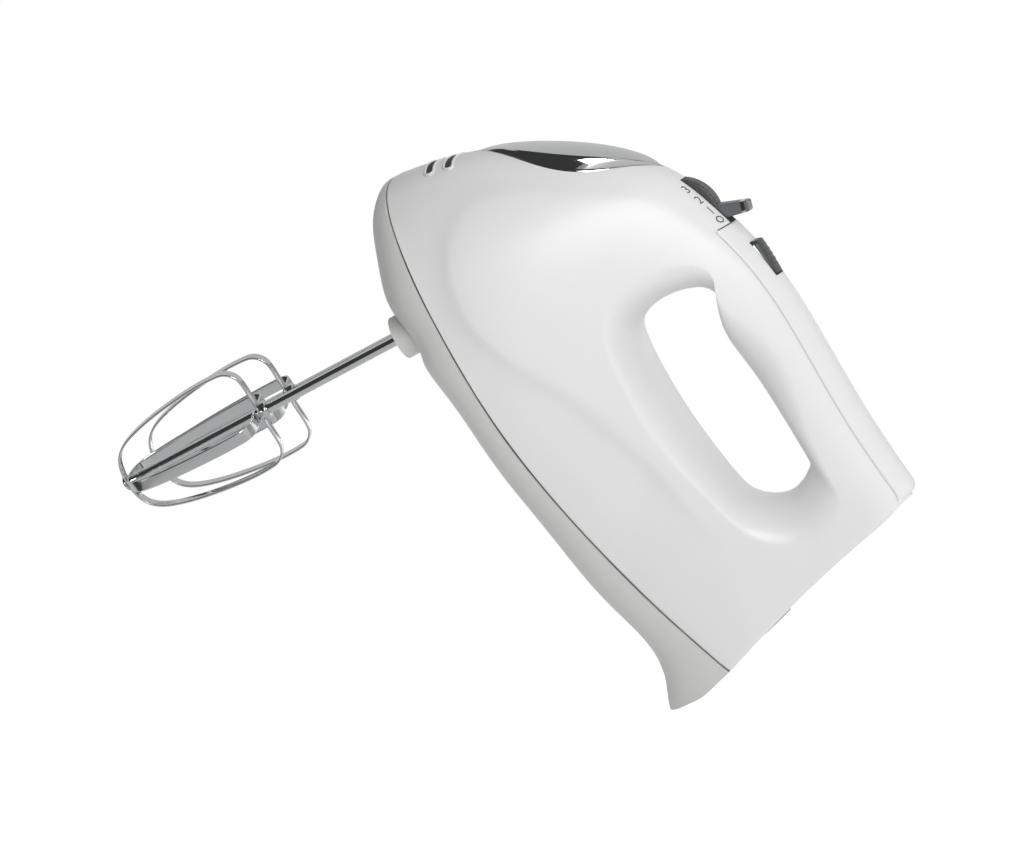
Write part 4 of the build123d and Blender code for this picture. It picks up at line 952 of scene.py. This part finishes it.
def reflection_tent():
    """Round tent out of the picture that bright metal mirrors: its glow is a function of the direction alone.

    Dark overhead and in front, mid grey behind, with a bell curve of the azimuth as a strip on either side.
    """
    azimuth, rise = np.meshgrid(
        np.linspace(-np.pi, np.pi, TENT_COUNTS[0]), np.linspace(-1.45, 1.45, TENT_COUNTS[1]), indexing="ij")
    x, y, z = np.sin(azimuth) * np.cos(rise), -np.cos(azimuth) * np.cos(rise), np.sin(rise)
    glow = 0.05 + 0.55 * smooth_step(y, 0.12, 0.36)
    strips = sum(np.exp(-((np.degrees(azimuth) - middle) / wide) ** 2) for middle, wide in TENT_STRIPS)
    glow = np.clip(glow + 0.9 * strips * (1 - smooth_step(z, 0.3, 0.5)), 0.03, 1.0)
    points = TENT_RADIUS * np.stack([x, y, z], -1).reshape(-1, 3) + np.array(STAGE_AIM)
    finish = Finish("tent_glow")
    source = finish.add("ShaderNodeAttribute", attribute_name="glow")
    finish.link(source.outputs["Fac"], finish.shader.inputs["Emission Strength"])
    fill(finish.shader, Base_Color=(0.0, 0.0, 0.0), Specular_IOR_Level=0.0, Emission_Color=(1.0, 1.0, 1.0))
    tent = mesh_object("reflection_tent", points, grid_faces(*TENT_COUNTS), finish.material)
    level = tent.data.attributes.new("glow", "FLOAT", "POINT")
    level.data.foreach_set("value", glow.ravel().astype(np.float32))
    tent.visible_camera = tent.visible_diffuse = tent.visible_shadow = tent.visible_transmission = False


class MIXER_OT_stage(bpy.types.Operator):
    """Floor, white surround, soft lamps and the camera of the photograph."""

    bl_idname = "mixer.stage"
    bl_label = "Stage"

    def execute(self, context):
        scene = context.scene
        scene.view_settings.view_transform = "Standard"
        self.white_world(scene)
        self.floor()
        self.lamps()
        self.camera(scene)
        return {"FINISHED"}

    def white_world(self, scene):
        """Even white for the camera, for reflections and through clear things; softer grey as light."""
        world = bpy.data.worlds.new("surround")
        world.use_nodes = True
        tree = world.node_tree
        background = tree.nodes["Background"]
        fill(background, Color=(1.0, 1.0, 1.0))
        path = tree.nodes.new("ShaderNodeLightPath")
        seen = path.outputs["Is Camera Ray"]
        for ray in ("Is Glossy Ray", "Is Transmission Ray"):
            either = tree.nodes.new("ShaderNodeMath")
            either.operation = "MAXIMUM"
            tree.links.new(seen, either.inputs[0])
            tree.links.new(path.outputs[ray], either.inputs[1])
            seen = either.outputs[0]
        strength = tree.nodes.new("ShaderNodeMapRange")
        fill(strength, To_Min=AMBIENT, To_Max=1.0)
        tree.links.new(seen, strength.inputs["Value"])
        tree.links.new(strength.outputs[0], background.inputs["Strength"])
        scene.world = world

    def floor(self):
        """White floor: seen as plain white except where the object takes the light away."""
        steps = np.linspace(-FLOOR_REACH, FLOOR_REACH, 9)
        x, y = np.meshgrid(steps, steps, indexing="ij")
        points = np.stack([x, y, 0 * x - FLOOR_DROP], -1).reshape(-1, 3)
        finish = Finish("floor_white")
        finish.link(finish.tint(finish.noise(3.0), (0.80, 0.80, 0.80), (0.82, 0.82, 0.82)),
                    finish.shader.inputs["Base Color"])
        fill(finish.shader, Roughness=0.9, Specular_IOR_Level=0.0, Emission_Color=(1.0, 1.0, 1.0))
        path = finish.add("ShaderNodeLightPath")
        seen = finish.math("MAXIMUM", path.outputs["Is Camera Ray"], path.outputs["Is Transmission Ray"])
        seen = finish.math("MULTIPLY", seen, FLOOR_SEEN)
        mirrored = finish.math("MULTIPLY", path.outputs["Is Glossy Ray"], FLOOR_MIRRORED)
        bounced = finish.math("MULTIPLY", path.outputs["Is Diffuse Ray"], FLOOR_BOUNCED)
        seen = finish.math("MAXIMUM", seen, finish.math("MAXIMUM", mirrored, bounced))
        finish.link(seen, finish.shader.inputs["Emission Strength"])
        floor = mesh_object("floor", points, grid_faces(*x.shape)[:, ::-1], finish.material)

    def lamps(self):
        """One broad key lamp in front, and fills above, behind and under the keel that metal does not mirror."""
        for name, place, size, power, mirrored in LAMPS:
            area_lamp(name, place, size, power).visible_glossy = mirrored
        reflection_tent()

    def camera(self, scene):
        """Camera from the fitted direction, roll, distance and image scale."""
        size = scene.mixer_sizes
        azimuth, elevation = size.camera_azimuth, size.camera_elevation
        away = Vector((math.sin(azimuth) * math.cos(elevation), -math.cos(azimuth) * math.cos(elevation),
                       math.sin(elevation)))
        right = (-away).cross(Vector((0, 0, 1))).normalized()
        up = right.cross(-away)
        turn, lean = math.cos(size.camera_roll), math.sin(size.camera_roll)
        right, up = turn * right + lean * up, turn * up - lean * right
        data = bpy.data.cameras.new("photo_camera")
        data.sensor_fit = "HORIZONTAL"
        data.sensor_width = SENSOR_WIDTH
        data.lens = SENSOR_WIDTH * size.camera_scale * size.camera_distance / IMAGE_WIDTH
        data.clip_start = 0.01
        camera = bpy.data.objects.new("photo_camera", data)
        basis = Matrix((right, up, away)).transposed().to_4x4()
        camera.matrix_world = Matrix.Translation(Vector(size.camera_aim) + away * size.camera_distance) @ basis
        scene.collection.objects.link(camera)
        scene.camera = camera


class MIXER_PT_panel(bpy.types.Panel):
    """Buttons for each step."""

    bl_idname = "MIXER_PT_panel"
    bl_label = "Hand Mixer"
    bl_space_type = "VIEW_3D"
    bl_region_type = "UI"
    bl_category = "Mixer"

    def draw(self, context):
        for step in STEPS:
            self.layout.operator(step.bl_idname)


STEPS = (MIXER_OT_casing, MIXER_OT_marks, MIXER_OT_controls, MIXER_OT_beaters, MIXER_OT_inside, MIXER_OT_stage)
CLASSES = (MixerSizes, MixerColours, *STEPS, MIXER_PT_panel)


def register():
    """Add the classes and their settings."""
    for kind in CLASSES:
        bpy.utils.register_class(kind)
    bpy.types.Scene.mixer_sizes = bpy.props.PointerProperty(type=MixerSizes)
    bpy.types.Scene.mixer_colours = bpy.props.PointerProperty(type=MixerColours)


def unregister():
    """Take the classes and settings away."""
    del bpy.types.Scene.mixer_sizes
    del bpy.types.Scene.mixer_colours
    for kind in reversed(CLASSES):
        bpy.utils.unregister_class(kind)


def main():
    """Run every step and keep the two boxes."""
    register()
    for step in STEPS:
        group, name = step.bl_idname.split(".")
        getattr(getattr(bpy.ops, group), name)()


if __name__ == "__main__":
    main()
